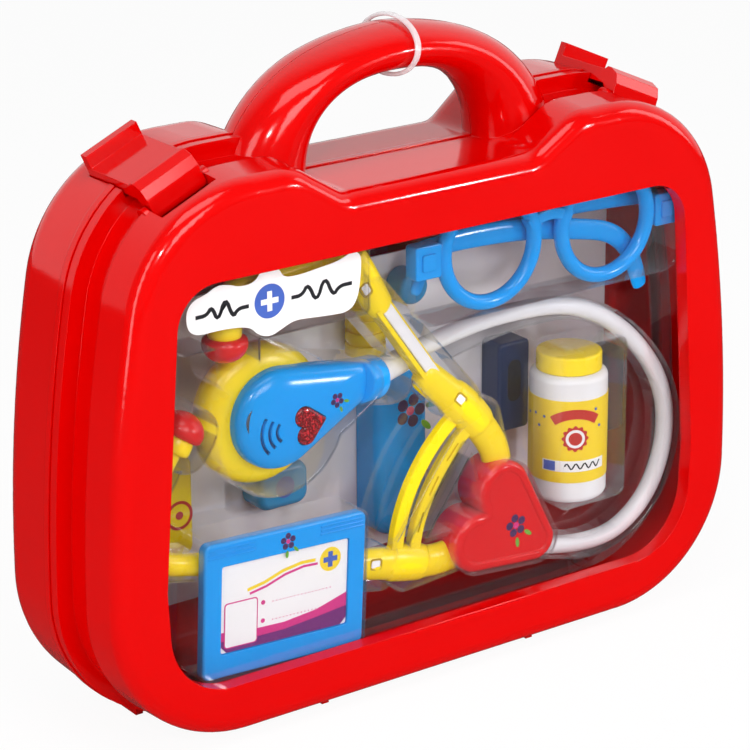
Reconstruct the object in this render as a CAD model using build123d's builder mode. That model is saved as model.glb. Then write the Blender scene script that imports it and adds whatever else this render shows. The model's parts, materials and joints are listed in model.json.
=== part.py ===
"""Toy doctor case: a two-shell plastic case with its window tray of toys."""
import math
import os

from build123d import *

os.makedirs("parts", exist_ok=True)

# Case. Depths count forward from the seam between the shells (y = 0).
rim_bottom = 2.0            # underside of the rim above the floor
side_x = 144.3              # half width of the front rim
side_z = 57.0               # height where the sides are widest
shoulder = (134.2, 167.0)   # where a side runs into its shoulder arc
crest = (80.0, 212.2)       # where a shoulder arc ends
crest_inner = 61.0          # half width where a crest starts to dip
saddle_half = 41.0          # half width of the flat saddle under the handle
saddle_z = 194.5
crest_round = 20.0
dip_round = 10.0
half_depth = 36.4           # depth of each shell
seam_half = 0.15            # half of the seam's shadow gap
wall = 2.2
rim_depth = 4.5             # front rim, from its face to the seam
ridge_depth = 3.3           # rear ridge beside the seam
ridge_step = 0.5            # rear ridge outside the front rim
ridge_drop = 0.35           # rear shell inside its ridge
cove_in = 6.2               # cove inside the front rim, on the sides and top
cove_under = 3.0            # the same on the bottom
cove_end = 16.5             # depth at which the raised tier starts
tier_in = 4.4               # tier inside the rim
tier_under = 1.2
tier_draft = 1.3
tier_round = 6.5
back_round = 12.5
back_draft = 1.2

# Window in the front face
window_top = 173.6
window_bottom = 23.4
window_top_half = 111.0     # half width at the upper corners
window_half = 119.0         # half width at its widest
window_wide_z = 66.0
window_low_half = 117.0     # half width at the lower corners
window_top_round = 16.0
window_bottom_round = 26.0
window_return = 6.0         # depth of the turned-in edge
return_wall = 1.8

# Handle: stations of its centreline, with half width and half depth
grip = (0.0, 234.1)
grip_half = 8.4
grip_deep = 15.5
bend = (25.3, 230.2)
bend_half = 8.6
haunch = (38.6, 223.4)
haunch_half = 10.4
knee = (48.4, 213.0)
knee_half = 13.2
foot = (52.9, 203.5)
foot_half = 15.2
foot_deep = 16.0
handle_turns = [90.0, 71.0, 48.0, 27.0, 15.0]  # lean of each station's section
leg_end_z = 190.0
leg_lean = 0.1              # outward run of the leg for its height
leg_flare = 0.6
leg_turn = 5.0

# Case hinge along the bottom of the seam
hinge_rod_r = 1.0
hinge_barrel_r = 1.9
hinge_fit = 0.06            # radial running clearance
hinge_side = 60.0           # middle of each hinge
hinge_barrel_length = 20.0
hinge_lug = 3.2
hinge_space = 0.4
hinge_sweep = 3.1           # room in the rear shell round the front's hinge web
ridge_relief = 0.8          # bevel under the ridge's front edge
hinge_z = rim_bottom - 0.05

# Latches on the shoulders. Their sections are drawn in (back, up) from the
# middle of the plate's top, on planes square to the tilted shoulder.
latch_tilt = 24.0
latch_at = (103.25, 209.1)
latch_width = 22.5
latch_plate = 2.0
latch_end = 17.5            # rear face of the finger lip
latch_lip = 3.4
latch_lip_high = 5.0
latch_bend = 12.0           # bend ridge ahead of the seam
latch_ridge = 1.2
latch_ridge_run = (1.5, 1.4)  # behind and ahead of the ridge
latch_heel = [(0.5, -4.0), (2.2, -0.4)]  # heel of the plate, from the skirt's rear face
latch_skirt = 5.2           # side skirts below the plate
skirt_thick = 1.8
latch_pivot = (-16.5, -10.0)
latch_barrel_r = 3.2
latch_pin_r = 1.5
latch_fit = 0.06
latch_open = 60.0
latch_reach = 24.0          # height that the latch's cuts run to
latch_space = 0.4
ear_thick = 2.2
rim_notch = -6.6            # floor of the rim's notch under the plate
pocket_floor = -8.6         # floor of the rear catch pocket
catch_at = 5.5              # front face of the catch rib
catch_thick = 2.4
catch_top = -6.4
nose_thick = 2.4
nose_tip = -7.8
nose_gap = 0.3

# Foot ribs
front_foot_x = 47.5
rear_foot_x = 107.0
foot_thick = 3.0
front_foot = (8.0, 27.0)
rear_foot = (5.6, 24.0)

# Clear tray
sheet = 0.6
seat = 0.3                  # clearance between a toy and its pocket
flange_in = 9.6             # flange edge inside the rim
flange_under = 7.2
flange_saddle = 3.4
sticker_outline = [(-103.8, 155.8), (-103.6, 167.6), (-32.8, 166.6), (-33.0, 149.8)]
sticker_panel = (80.0, 26.0)
sticker_at = (-68.0, 160.0)
sticker_thick = 0.15
pan_step = 4.0              # pan wall inside the flange edge
pan_depth = 12.0
deep = 29.4                 # inner face of the deepest pockets
flange_back = 0.8           # rear face of the flange behind the seam
ledge_thick = 2.0
ledge_reach = 3.0

# Folded backing card
card_thick = 0.8
card_half = 118.0
card_z = (34.0, 150.0)
card_face = 16.0            # front face behind the seam

# Stethoscope. Every place is (X, Z); depths are ahead of the seam.
toy_front = deep - seat
bowl_at = (-66.0, 114.0)
bowl_r = 26.0
bowl_front = 18.2
bowl_back = 6.0
bowl_wall = 1.6
bowl_round = 4.0
door_size = (20.0, 14.0)
door_flange = (24.0, 18.0)
door_flange_thick = 0.6
housing_at = (-62.0, 116.0)
housing_r = 20.0
housing_front = 27.6
housing_end = (-31.0, 120.6)
housing_end_r = 6.8
housing_round = 5.0
grille_offset = (5.5, -3.0)  # middle of the grille's arcs from the speaker's
grille_first = 5.0
grille_step = 3.4
grille_count = 3
grille_span = (150.0, 60.0)
grille_width = 1.2
button_at = (-56.2, 110.4)
button_size = 7.2           # half width over both lobes
button_long = 9.6           # from the notch to the point
button_tip_r = 0.8
button_turn = 8.0
button_proud = 1.2
button_travel = 1.0
button_gap = 0.25
button_flange = 0.9
button_round = 0.6
button_stem_r = 2.0
board_thick = 1.2
switch_high = 0.5
switch_side = 6.0
speaker_r = 6.6
speaker_thick = 3.4
speaker_at = (-72.0, 115.5)
cell_r = 5.8
cell_thick = 5.4
neck_depth = 12.6           # depth of the tube's end at the chest piece
neck_barrel = ((-34.0, 19.0, 120.5), (-15.6, 13.6, 117.4))
neck_r = 4.0
neck_flange = 1.2
neck_lip = 0.2              # share of the barrel that its flange takes
neck_start = (-14.6, 117.6)
tube_r = 3.5
tube_depth = 19.0
channel_overrun = 0.3       # the tube's pocket beyond its ends, as a share of the end runs
bend_share = 0.45           # of the shorter run at a corner that its arc may use
socket_long = 10.0
socket_r = 4.4
# The tube's route as (X, depth, Z): out of the hub, round the bottle and
# behind the upper arm to the chest piece.
tube_route = [(57.5, tube_depth, 33.4), (85.0, tube_depth, 26.0), (110.0, tube_depth, 37.0),
              (121.5, tube_depth, 62.0), (118.5, tube_depth, 88.0), (99.0, tube_depth, 113.0),
              (73.0, tube_depth, 128.6), (45.0, 15.8, 129.6), (19.0, neck_depth, 125.7),
              (-5.0, neck_depth, 119.9)]
hub_notch = (27.0, 56.0)
hub_turn = -33.7            # direction from the notch to the point
hub_lobe = (1.5, 10.9)
hub_lobe_r = 11.6
hub_tip = (32.6, 0.0)
hub_tip_r = 3.2
hub_middle = 23.6           # depth of the joint between the hub's halves
hub_rim = 3.0
hub_recess = 0.8
hub_round = 2.0
hub_screw_r = 1.3
hub_screw_head_r = 2.4
hub_screw_places = [(32.0, 65.0), (23.0, 45.0)]
hub_back_depth = 14.0
arm_front = 24.6
arm_back = 17.0
arm_width = 15.0
knuckle_upper = (25.4, 94.0)
knuckle_lower = (-9.0, 42.7)
knuckle_r = 8.0
arm_upper_run = [(16.5, 102.6), (-24.0, 150.4)]
arm_lower_run = [(-20.4, 45.4), (-76.0, 57.2)]
pin_places = [(14.9, 104.5), (-26.2, 153.0), (-22.6, 45.9)]
pin_side = 4.2
pin_fit = 0.05
rod_width = 7.0
rod_thick = 3.0
rod_fit = 0.1
rod_span = (0.3, 0.84)      # along the arm
ear_tube_r = 4.0
ear_bend_r = 9.0
ear_upper_run = [(-28.2, 155.3), (-38.0, 167.0), (-83.6, 165.0), (-83.6, 153.0)]
ear_lower_run = [(-82.0, 58.5), (-103.0, 63.0), (-103.0, 108.0)]
collar_r = 6.4
collar_long = 5.0
tip_r = 8.3
tip_long = 9.5
tip_round = 4.0
slat_left = [(14.6, 88.6), (-11.4, 53.0)]
slat_right = [(20.6, 84.6), (-2.6, 52.4)]
slat_widths = (5.0, 3.0)
slat_front = 23.4
slat_thick = 2.6

# Glasses
lens_places = [(27.0, 160.6), (81.0, 160.6)]
lens_out = 23.3
lens_in = 17.6
lens_edge = 1.2
glasses_thick = 5.0
hinge_block = (12.0, 14.0)
block_places = [(-1.5, 161.5), (110.5, 161.5)]
temple_thick = 3.0
temple_wide = 6.0
temple_gap = 0.4
temple_hook = (104.0, 140.0)
temple_bend = 20.0          # from the hook back to the bend

# Bottle
bottle_at = (75.5, 50.0)    # axis and underside
bottle_r = 15.0
bottle_high = 51.0
bottle_round = 3.0
bottle_wall = 1.4
bottle_neck_r = 10.0
bottle_neck_high = 5.0
cap_r = 12.6
cap_high = 7.0
cap_gap = 0.15
cap_round = 1.0
label_z = (9.0, 42.0)       # above the underside
label_thick = 0.2

# Badge
badge_at = (-65.6, 48.4)
badge_size = (69.0, 51.5)
badge_turn = -2.6
badge_thick = 4.0
badge_round = 3.0
badge_edge = 1.0
badge_card_size = (54.0, 33.0)
badge_card_drop = 1.2
badge_card_round = 1.0
badge_card_thick = 0.5
clip_size = (26.0, 7.0)
clip_thick = 3.0

# Loose toys on the backing card: middle, size and roundness
handle_at = (9.4, 77.0)
handle_size = (24.0, 68.0)
head_at = (-3.6, 129.0)
head_r = 7.6
head_long = 24.0
groove_count = 4            # grooves round the head
groove_first = 4.0
groove_step = 5.0
groove_deep = 1.0
groove_wide = 1.6
lens_at = (17.7, 138.0)
lens_r = 6.5
thermometer_at = (-89.0, 77.0)
thermometer_size = (13.0, 40.0)
hammer_at = (-43.0, 74.0)
hammer_size = (22.0, 17.0)
pager_at = (64.3, 89.7)
pager_size = (15.0, 36.0)
pill_box_at = (113.0, 77.0)
pill_box_size = (14.0, 34.0)
loose_front = 2.0           # front of the loose toys behind the seam
handle_round = (8.0, 4.0)   # corners, then front edge
lens_set = 4.0              # front of the lens behind the handle's
slim_round = 5.0            # corners of the thermometer and the hammer head
slim_set = 2.0
loose_edge = 2.0
hammer_edge = 3.0
box_round = 2.0             # corners of the pager and the pill box
box_set = 3.0
box_edge = 1.2


def at(depth):
    """Sketch plane that far ahead of the seam; its x is X and its y is Z."""
    return Plane.XZ.offset(depth)


def case_outline(inset=0.0, under=0.0, saddle_in=0.0):
    """Outline of the case, inset on its sides and top, bottom and saddle."""
    base = rim_bottom + under
    widest = side_x - inset
    corner = side_z - base
    lean = math.atan2(2 * (side_x - shoulder[0]), shoulder[1] - side_z)
    hip = (shoulder[0] - inset * math.cos(lean), shoulder[1] - inset * math.sin(lean))
    top = crest[1] - inset
    with BuildSketch() as outline:
        with BuildLine():
            corner_arc = TangentArc((widest - corner, base), (widest, side_z), tangent=(1, 0))
            side_arc = TangentArc(corner_arc @ 1, hip, tangent=(0, 1))
            TangentArc(side_arc @ 1, (crest[0], top), tangent=side_arc % 1)
            Polyline((crest[0], top), (crest_inner, top), (saddle_half, saddle_z - saddle_in),
                     (0, saddle_z - saddle_in), (0, base), (widest - corner, base))
        make_face()
        mirror(about=Plane.YZ)
        fillet(outline.vertices().filter_by_position(Axis.Y, top - 0.1, top + 0.1)
               .filter_by(lambda v: abs(abs(v.X) - crest_inner) < 0.1), crest_round)
        fillet(outline.vertices().filter_by(
            lambda v: abs(abs(v.X) - saddle_half) < 0.1 and v.Y > base + corner), dip_round)
    return outline.sketch


def window_outline(grow=0.0):
    with BuildSketch() as outline:
        with BuildLine():
            Polyline((0, window_bottom), (window_low_half, window_bottom), (window_half, window_wide_z),
                     (window_top_half, window_top), (0, window_top), (0, window_bottom))
        make_face()
        mirror(about=Plane.YZ)
        fillet(outline.vertices().filter_by(lambda v: v.Y > window_top - 1 and abs(v.X) > 1), window_top_round)
        fillet(outline.vertices().filter_by(lambda v: v.Y < window_bottom + 1 and abs(v.X) > 1),
               window_bottom_round)
        if grow:
            offset(amount=grow, kind=Kind.ARC, mode=Mode.REPLACE)
    return outline.sketch


def handle_body(thinner=0.0):
    """The whole handle as one smooth loft, thinner by a wall for its hollow."""
    stations = [(grip, grip_half, grip_deep), (bend, bend_half, grip_deep),
                (haunch, haunch_half, grip_deep), (knee, knee_half, grip_deep),
                (foot, foot_half, foot_deep)]
    places = []
    for (middle, half, depth), turn in zip(stations, handle_turns):
        places.append((middle[0], middle[1], half, depth, turn))
    drop = places[-1][1] - leg_end_z
    places.append((places[-1][0] + leg_lean * drop, leg_end_z, foot_half + leg_flare, foot_deep, leg_turn))
    both = [(-x, z, half, depth, 180 - turn) for x, z, half, depth, turn in reversed(places[1:])] + places
    with BuildPart() as body:
        for x, z, half, depth, turn in both:
            angle = math.radians(turn)
            section = Plane(origin=(x, 0, z), x_dir=(math.cos(angle), 0, math.sin(angle)),
                            z_dir=(math.sin(angle), 0, -math.cos(angle)))
            with BuildSketch(section):
                Ellipse(half - thinner, depth - thinner)
        loft()
    return body.part


def latch_plane(across=0.0):
    """Section plane of the right latch; its x is back (+Y) and its y is up."""
    tilt = math.radians(latch_tilt)
    out = Vector(math.cos(tilt), 0, -math.sin(tilt))
    middle = Vector(latch_at[0], 0, latch_at[1]) + out * across
    return Plane(origin=middle, x_dir=(0, 1, 0), z_dir=out)


def both_sides(shape):
    return [shape, mirror(shape, about=Plane.YZ)]


ear_half = latch_width / 2 + latch_space + ear_thick
barrel_space = latch_barrel_r + latch_space
loose_back = card_face - seat


def slots(run, width):
    """Round-ended strips along a run of places, in one sketch."""
    with BuildSketch() as strips:
        for start, end in zip(run, run[1:]):
            long = math.dist(start, end)
            turn = math.degrees(math.atan2(end[1] - start[1], end[0] - start[0]))
            middle = ((start[0] + end[0]) / 2, (start[1] + end[1]) / 2)
            with Locations(Location((middle[0], middle[1], 0), (0, 0, turn))):
                SlotCenterToCenter(long, width)
    return strips.sketch


def between(run, share):
    return (run[0][0] + share * (run[1][0] - run[0][0]), run[0][1] + share * (run[1][1] - run[0][1]))


def heart(middle, turn, lobe, lobe_r, tip, tip_r, grow=0.0):
    """Heart with its notch at middle, pointing along turn."""
    with BuildSketch() as outline:
        for side in (1, -1):
            with BuildSketch(mode=Mode.PRIVATE) as half:
                with Locations((lobe[0], side * lobe[1])):
                    Circle(lobe_r + grow)
                with Locations(tip):
                    Circle(tip_r + grow)
                make_hull()
            add(half.sketch)
    return outline.sketch.moved(Location((middle[0], middle[1], 0), (0, 0, turn)))


def hub_outline(grow=0.0):
    return heart(hub_notch, hub_turn, hub_lobe, hub_lobe_r, hub_tip, hub_tip_r, grow)


def button_outline(grow=0.0):
    lobe = 0.5 * button_size
    notch = (button_at[0] - lobe, button_at[1])
    return heart(notch, button_turn, (0, lobe), lobe, (button_long, 0), button_tip_r, grow)


def housing_outline(grow=0.0):
    with BuildSketch() as outline:
        with Locations(housing_at):
            Circle(housing_r + grow)
        with Locations(housing_end):
            Circle(housing_end_r + grow)
        make_hull()
    return outline.sketch


def badge_place(shape):
    return shape.moved(Location((badge_at[0], badge_at[1], 0), (0, 0, badge_turn)))


def rounded(size, radius):
    with BuildSketch() as shape:
        RectangleRounded(size[0], size[1], radius)
    return shape.sketch


def disc(middle, radius):
    with BuildSketch() as shape:
        with Locations(middle):
            Circle(radius)
    return shape.sketch


def plain(middle, size):
    with BuildSketch() as shape:
        with Locations(middle):
            Rectangle(*size)
    return shape.sketch


def round_rod(start, end, start_r, end_r):
    with BuildPart() as bar:
        with BuildSketch(Plane(origin=start, z_dir=end - start)):
            Circle(start_r)
        with BuildSketch(Plane(origin=end, z_dir=end - start)):
            Circle(end_r)
        loft()
    return bar.part


def round_bar(start, end, start_r, end_r, depth):
    """Tapered round bar between two places at one depth."""
    return round_rod(Vector(start[0], -depth, start[1]), Vector(end[0], -depth, end[1]), start_r, end_r)


def round_path(run, depth, radius, bend_r):
    """Round rod along a filleted run at one depth."""
    points = [(x, -depth, z) for x, z in run]
    with BuildPart() as rod:
        with BuildLine() as path:
            FilletPolyline(*points, radius=bend_r)
        with BuildSketch(Plane(origin=path.line @ 0, z_dir=path.line % 0)):
            Circle(radius)
        sweep()
    return rod.part


def finish(part, name):
    part.label = name
    export_step(part, f"parts/{name}.step")


def block(outline, front, back):
    """Solid between two depths ahead of the seam."""
    with BuildPart() as solid:
        with BuildSketch(at(back)):
            add(outline)
        extrude(amount=front - back)
    return solid.part


# ---- shapes shared by the latches and the shells ----
with BuildPart() as latch_relief:
    swing = math.radians(latch_open)
    foot_point = (latch_pivot[0] - barrel_space * math.cos(swing),
                  latch_pivot[1] - barrel_space * math.sin(swing))
    far_point = (foot_point[0] - latch_reach * math.sin(swing),
                 foot_point[1] + latch_reach * math.cos(swing))
    with BuildSketch(latch_plane(-latch_width / 2 - latch_space)):
        with Locations(latch_pivot):
            Circle(barrel_space)
        with BuildLine():
            Polyline(latch_pivot, foot_point, far_point, (far_point[0], latch_reach),
                     (latch_pivot[0], latch_reach), latch_pivot)
        make_face()
        with Locations((latch_pivot[0], rim_notch)):
            Rectangle(-latch_pivot[0] + latch_space, latch_reach, align=(Align.MIN, Align.MIN))
    extrude(amount=latch_width + 2 * latch_space)

with BuildPart() as latch_boss:
    with BuildSketch(latch_plane(-ear_half)):
        with Locations(latch_pivot):
            Circle(barrel_space + wall)
            Rectangle(2 * (barrel_space + wall), latch_reach, align=(Align.CENTER, Align.MIN))
            Rectangle(4 * barrel_space, 2 * barrel_space, align=(Align.MAX, Align.CENTER))
    extrude(amount=2 * ear_half)

with BuildPart() as latch_ears:
    for across in (-ear_half, latch_width / 2 + latch_space):
        with BuildSketch(latch_plane(across)):
            with Locations(latch_pivot):
                Circle(latch_barrel_r)
                Rectangle(2 * latch_barrel_r, barrel_space + wall / 2, align=(Align.CENTER, Align.MAX))
        extrude(amount=ear_thick)

with BuildPart() as ear_bores:
    with BuildSketch(latch_plane(-ear_half + ear_thick / 3)):
        with Locations(latch_pivot):
            Circle(latch_pin_r + latch_fit)
    extrude(amount=2 * (ear_half - ear_thick / 3))

with BuildPart() as catch_pocket:
    with BuildSketch(latch_plane(-latch_width / 2 - latch_space)):
        with Locations((-latch_space, pocket_floor)):
            Rectangle(latch_end + 2 * latch_space, latch_reach, align=(Align.MIN, Align.MIN))
        with Locations((catch_at, pocket_floor)):
            Rectangle(catch_thick, catch_top - pocket_floor, align=(Align.MIN, Align.MIN),
                      mode=Mode.SUBTRACT)
    extrude(amount=latch_width + 2 * latch_space)

with BuildPart() as pocket_boss:
    with BuildSketch(latch_plane(-ear_half)):
        with Locations((-wall, pocket_floor - wall)):
            Rectangle(latch_end + latch_space + 2 * wall, latch_reach, align=(Align.MIN, Align.MIN))
    extrude(amount=2 * ear_half)

# ---- front shell ----
with BuildPart() as front_cavity:
    with BuildSketch(at(0)):
        add(case_outline(cove_in + wall, cove_under + wall, wall))
    extrude(amount=half_depth - wall)
    add(handle_body(wall))
    split(bisect_by=at(0), keep=Keep.TOP)
    for shape in both_sides(latch_boss.part):
        add(shape, mode=Mode.SUBTRACT)

with BuildPart() as front_handle:
    add(handle_body())
    split(bisect_by=at(seam_half), keep=Keep.TOP)

with BuildPart() as front_shell:
    with BuildSketch(at(seam_half)):
        add(case_outline())
    extrude(amount=rim_depth - seam_half)
    with BuildSketch(at(rim_depth)):
        add(case_outline(cove_in, cove_under))
    extrude(amount=cove_end - rim_depth)
    with BuildSketch(at(cove_end)):
        add(case_outline(tier_in, tier_under))
    with BuildSketch(at(half_depth)):
        add(case_outline(tier_in + tier_draft, tier_under + tier_draft / 2))
    loft()
    fillet(front_shell.faces().sort_by(Axis.Y)[0].outer_wire().edges(), tier_round)
    add(front_handle.part)
    add(front_cavity.part, mode=Mode.SUBTRACT)
    with BuildSketch(at(half_depth - window_return)):
        add(window_outline(return_wall))
    extrude(amount=window_return - wall)
    with BuildSketch(at(0)):
        add(window_outline())
    extrude(amount=half_depth, mode=Mode.SUBTRACT)
    for shape in both_sides(latch_relief.part):
        add(shape, mode=Mode.SUBTRACT)
    for shape in both_sides(latch_ears.part):
        add(shape)
    for shape in both_sides(ear_bores.part):
        add(shape, mode=Mode.SUBTRACT)
    for side in (-1, 1):
        with BuildSketch(Plane.XY):
            with Locations((side * front_foot_x, -(front_foot[0] + front_foot[1]) / 2)):
                Rectangle(foot_thick, front_foot[1] - front_foot[0])
        extrude(amount=rim_bottom + cove_under + wall / 2)
        middle = side * hinge_side
        lug_end = hinge_barrel_length / 2 + hinge_space + hinge_lug
        with BuildSketch(Plane.YZ.offset(middle - lug_end - hinge_space)):
            with Locations((0, hinge_z)):
                Circle(hinge_barrel_r + hinge_space)
        extrude(amount=2 * (lug_end + hinge_space), mode=Mode.SUBTRACT)
        with BuildSketch(Plane.YZ.offset(middle - hinge_barrel_length / 2)):
            with Locations((0, hinge_z)):
                Circle(hinge_barrel_r)
                with BuildLine():
                    Polyline((0, 0), (0, hinge_barrel_r + 2 * hinge_space), (-rim_depth, hinge_barrel_r
                             + 2 * hinge_space), (-rim_depth, rim_bottom - hinge_z), (0, 0))
                make_face()
                Circle(hinge_rod_r + hinge_fit, mode=Mode.SUBTRACT)
        extrude(amount=hinge_barrel_length)
finish(front_shell.part, "front_shell")

# ---- rear shell ----
with BuildPart() as rear_cavity:
    with BuildSketch(Plane.XZ):
        add(case_outline(wall + back_draft, wall + back_draft / 2, wall))
    extrude(amount=-(half_depth - wall))
    fillet(rear_cavity.faces().sort_by(Axis.Y)[-1].outer_wire().edges(), back_round - wall)
    with BuildPart(mode=Mode.PRIVATE) as hollow:
        add(handle_body(wall))
        split(bisect_by=Plane.XZ, keep=Keep.BOTTOM)
    add(hollow.part)
    for shape in both_sides(pocket_boss.part):
        add(shape, mode=Mode.SUBTRACT)

with BuildPart() as rear_handle:
    add(handle_body())
    split(bisect_by=at(-seam_half), keep=Keep.BOTTOM)

with BuildPart() as seat_ledge:
    with BuildSketch(at(-flange_back)):
        add(case_outline(wall / 2, wall / 2, wall / 2))
        add(case_outline(flange_in + ledge_reach, flange_under + ledge_reach, flange_saddle + ledge_reach),
            mode=Mode.SUBTRACT)
    extrude(amount=-ledge_thick)

with BuildPart() as rear_shell:
    with BuildSketch(at(-seam_half)):
        add(case_outline(*[ridge_drop - ridge_step] * 3))
    with BuildSketch(at(-half_depth)):
        add(case_outline(back_draft, back_draft / 2))
    loft()
    fillet(rear_shell.faces().sort_by(Axis.Y)[-1].outer_wire().edges(), back_round)
    with BuildSketch(at(-seam_half)):
        add(case_outline(-ridge_step, -ridge_step, -ridge_step))
    extrude(amount=-(ridge_depth - seam_half))
    add(rear_handle.part)
    add(rear_cavity.part, mode=Mode.SUBTRACT)
    add(seat_ledge.part)
    for shape in both_sides(catch_pocket.part):
        add(shape, mode=Mode.SUBTRACT)
    ridge_bottom = rim_bottom - ridge_step
    with BuildSketch(Plane.YZ.offset(-side_x)):
        with BuildLine():
            Polyline((0, ridge_bottom - ridge_step), (seam_half + ridge_relief, ridge_bottom - ridge_step),
                     (seam_half + ridge_relief, ridge_bottom), (0, ridge_bottom + ridge_relief),
                     (0, ridge_bottom - ridge_step))
        make_face()
    extrude(amount=2 * side_x, mode=Mode.SUBTRACT)
    for side in (-1, 1):
        with BuildSketch(Plane.XY):
            with Locations((side * rear_foot_x, (rear_foot[0] + rear_foot[1]) / 2)):
                Rectangle(foot_thick, rear_foot[1] - rear_foot[0])
        extrude(amount=rim_bottom + 2 * wall)
        middle = side * hinge_side
        with BuildSketch(Plane.YZ.offset(middle - hinge_barrel_length / 2 - hinge_space)):
            with Locations((0, hinge_z)):
                Circle(hinge_sweep)
        extrude(amount=hinge_barrel_length + 2 * hinge_space, mode=Mode.SUBTRACT)
        lug_start = hinge_barrel_length / 2 + hinge_space
        for start in (-lug_start - hinge_lug, lug_start):
            with BuildSketch(Plane.YZ.offset(middle + start)):
                with Locations((0, hinge_z)):
                    Circle(hinge_barrel_r)
                    Rectangle(hinge_barrel_r + ridge_step, rim_bottom, align=(Align.MIN, Align.MIN))
            extrude(amount=hinge_lug)
        with BuildSketch(Plane.YZ.offset(middle - hinge_barrel_length / 2 - hinge_space - hinge_lug / 2)):
            with Locations((0, hinge_z)):
                Circle(hinge_rod_r)
        extrude(amount=hinge_barrel_length + 2 * hinge_space + hinge_lug)
finish(rear_shell.part, "rear_shell")

# ---- latches ----
with BuildPart() as latch_right:
    skirt_face = latch_pivot[0] - latch_barrel_r
    with BuildSketch(latch_plane(-latch_width / 2)):
        with Locations(latch_pivot):
            Circle(latch_barrel_r)
        with BuildLine():
            Polyline((skirt_face, latch_pivot[1]), *[(skirt_face + back, up) for back, up in latch_heel],
                     (-latch_bend - latch_ridge_run[0], latch_ridge), (-latch_bend, latch_ridge),
                     (-latch_bend + latch_ridge_run[1], 0),
                     (latch_end - latch_lip, 0), (latch_end - latch_lip, latch_lip_high),
                     (latch_end, latch_lip_high), (latch_end, -latch_plate), (-latch_bend, -latch_plate),
                     (latch_pivot[0], -2 * latch_plate), latch_pivot, (skirt_face, latch_pivot[1]))
        make_face()
        nose_face = catch_at + catch_thick + nose_gap
        with Locations((nose_face, nose_tip)):
            Rectangle(nose_thick, -nose_tip - latch_plate / 2, align=(Align.MIN, Align.MIN))
    extrude(amount=latch_width)
    for across in (-latch_width / 2, latch_width / 2 - skirt_thick):
        with BuildSketch(latch_plane(across)):
            with BuildLine():
                Polyline(latch_pivot, (latch_pivot[0], -latch_plate), (latch_end, -latch_plate),
                         (latch_end, -latch_skirt), (-latch_bend, -latch_skirt), latch_pivot)
            make_face()
        extrude(amount=skirt_thick)
    pin_half = ear_half - ear_thick / 3 - latch_space / 2
    with BuildSketch(latch_plane(-pin_half)):
        with Locations(latch_pivot):
            Circle(latch_pin_r)
    extrude(amount=2 * pin_half)
finish(latch_right.part, "latch_right")

with BuildPart() as latch_left:
    add(mirror(latch_right.part, about=Plane.YZ))
finish(latch_left.part, "latch_left")

# ---- clear tray and backing card ----
route_places = [(x, z) for x, _, z in tube_route]
socket_start = between(route_places, -socket_long / math.dist(*route_places[:2]))


def bend_radii(points):
    """Arc at each corner of a route, as large as its two runs allow."""
    radii = []
    for before, here, after in zip(points, points[1:], points[2:]):
        turn = math.radians((here - before).get_angle(after - here))
        radii.append(bend_share * min((here - before).length, (after - here).length) / math.tan(turn / 2))
    return radii


def tube_channel(half_width):
    """The tube's pocket along its route, run on over both ends."""
    flat = [Vector(x, z, 0) for x, z in route_places]
    ends = [between(route_places, -channel_overrun), *route_places[1:-1],
            between(route_places[:-3:-1], -channel_overrun)]
    with BuildSketch() as channel:
        with BuildLine():
            FilletPolyline(*ends, radius=bend_radii(flat))
        trace(line_width=2 * half_width)
    return channel.sketch


deep_pockets = [
    badge_place(rounded((badge_size[0] + 2 * seat, badge_size[1] + 2 * seat), badge_round + seat)),
    housing_outline(seat),
    disc(bowl_at, bowl_r + seat),
    hub_outline(seat),
    Pos(bottle_at[0], bottle_at[1] + (bottle_high + cap_high + bottle_neck_high) / 2)
    * Rectangle(2 * (bottle_r + seat), bottle_high + bottle_neck_high + cap_high + 2 * seat),
    Pos((block_places[0][0] + block_places[1][0]) / 2, lens_places[0][1])
    * Rectangle(block_places[1][0] - block_places[0][0] + hinge_block[0] + 2 * seat, 2 * (lens_out + seat)),
    slots(ear_upper_run[-2:] + [(ear_upper_run[-1][0], ear_upper_run[-1][1] - 2 * tip_r)],
          2 * (tip_r + seat)),
    slots([ear_lower_run[-1], (ear_lower_run[-1][0], ear_lower_run[-1][1] + collar_long + tip_long)],
          2 * (tip_r + seat)),
    Pos(*sticker_at) * Rectangle(*sticker_panel),
]
arm_pockets = [
    slots(arm_upper_run, arm_width + 4 * seat),
    slots(arm_lower_run, arm_width + 4 * seat),
    slots([knuckle_upper, (hub_notch[0] + hub_lobe[1], hub_notch[1] + hub_lobe[1])], 2 * (knuckle_r + seat)),
    slots([knuckle_lower, (hub_notch[0] - hub_lobe[1], hub_notch[1] - hub_lobe[1])], 2 * (knuckle_r + seat)),
    slots(ear_upper_run, 2 * (ear_tube_r + 2 * seat)),
    slots(ear_lower_run, 2 * (ear_tube_r + 2 * seat)),
    slots([knuckle_upper, *slat_left, knuckle_lower], slat_widths[0] + 4 * seat),
    slots([knuckle_upper, *slat_right, knuckle_lower], slat_widths[1] + 4 * seat),
    slots([socket_start, route_places[0]], 2 * (socket_r + seat)),
    slots([housing_end, (neck_barrel[1][0], neck_barrel[1][2])], 2 * (housing_end_r + neck_flange + seat)),
    slots([neck_start, route_places[-1]], 2 * (neck_r + seat)),
]
tube_pockets = [tube_channel(tube_r + seat)]
pocket_levels = [(deep_pockets, deep), (arm_pockets, arm_front + seat),
                 (tube_pockets, tube_depth + tube_r + seat)]


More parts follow.
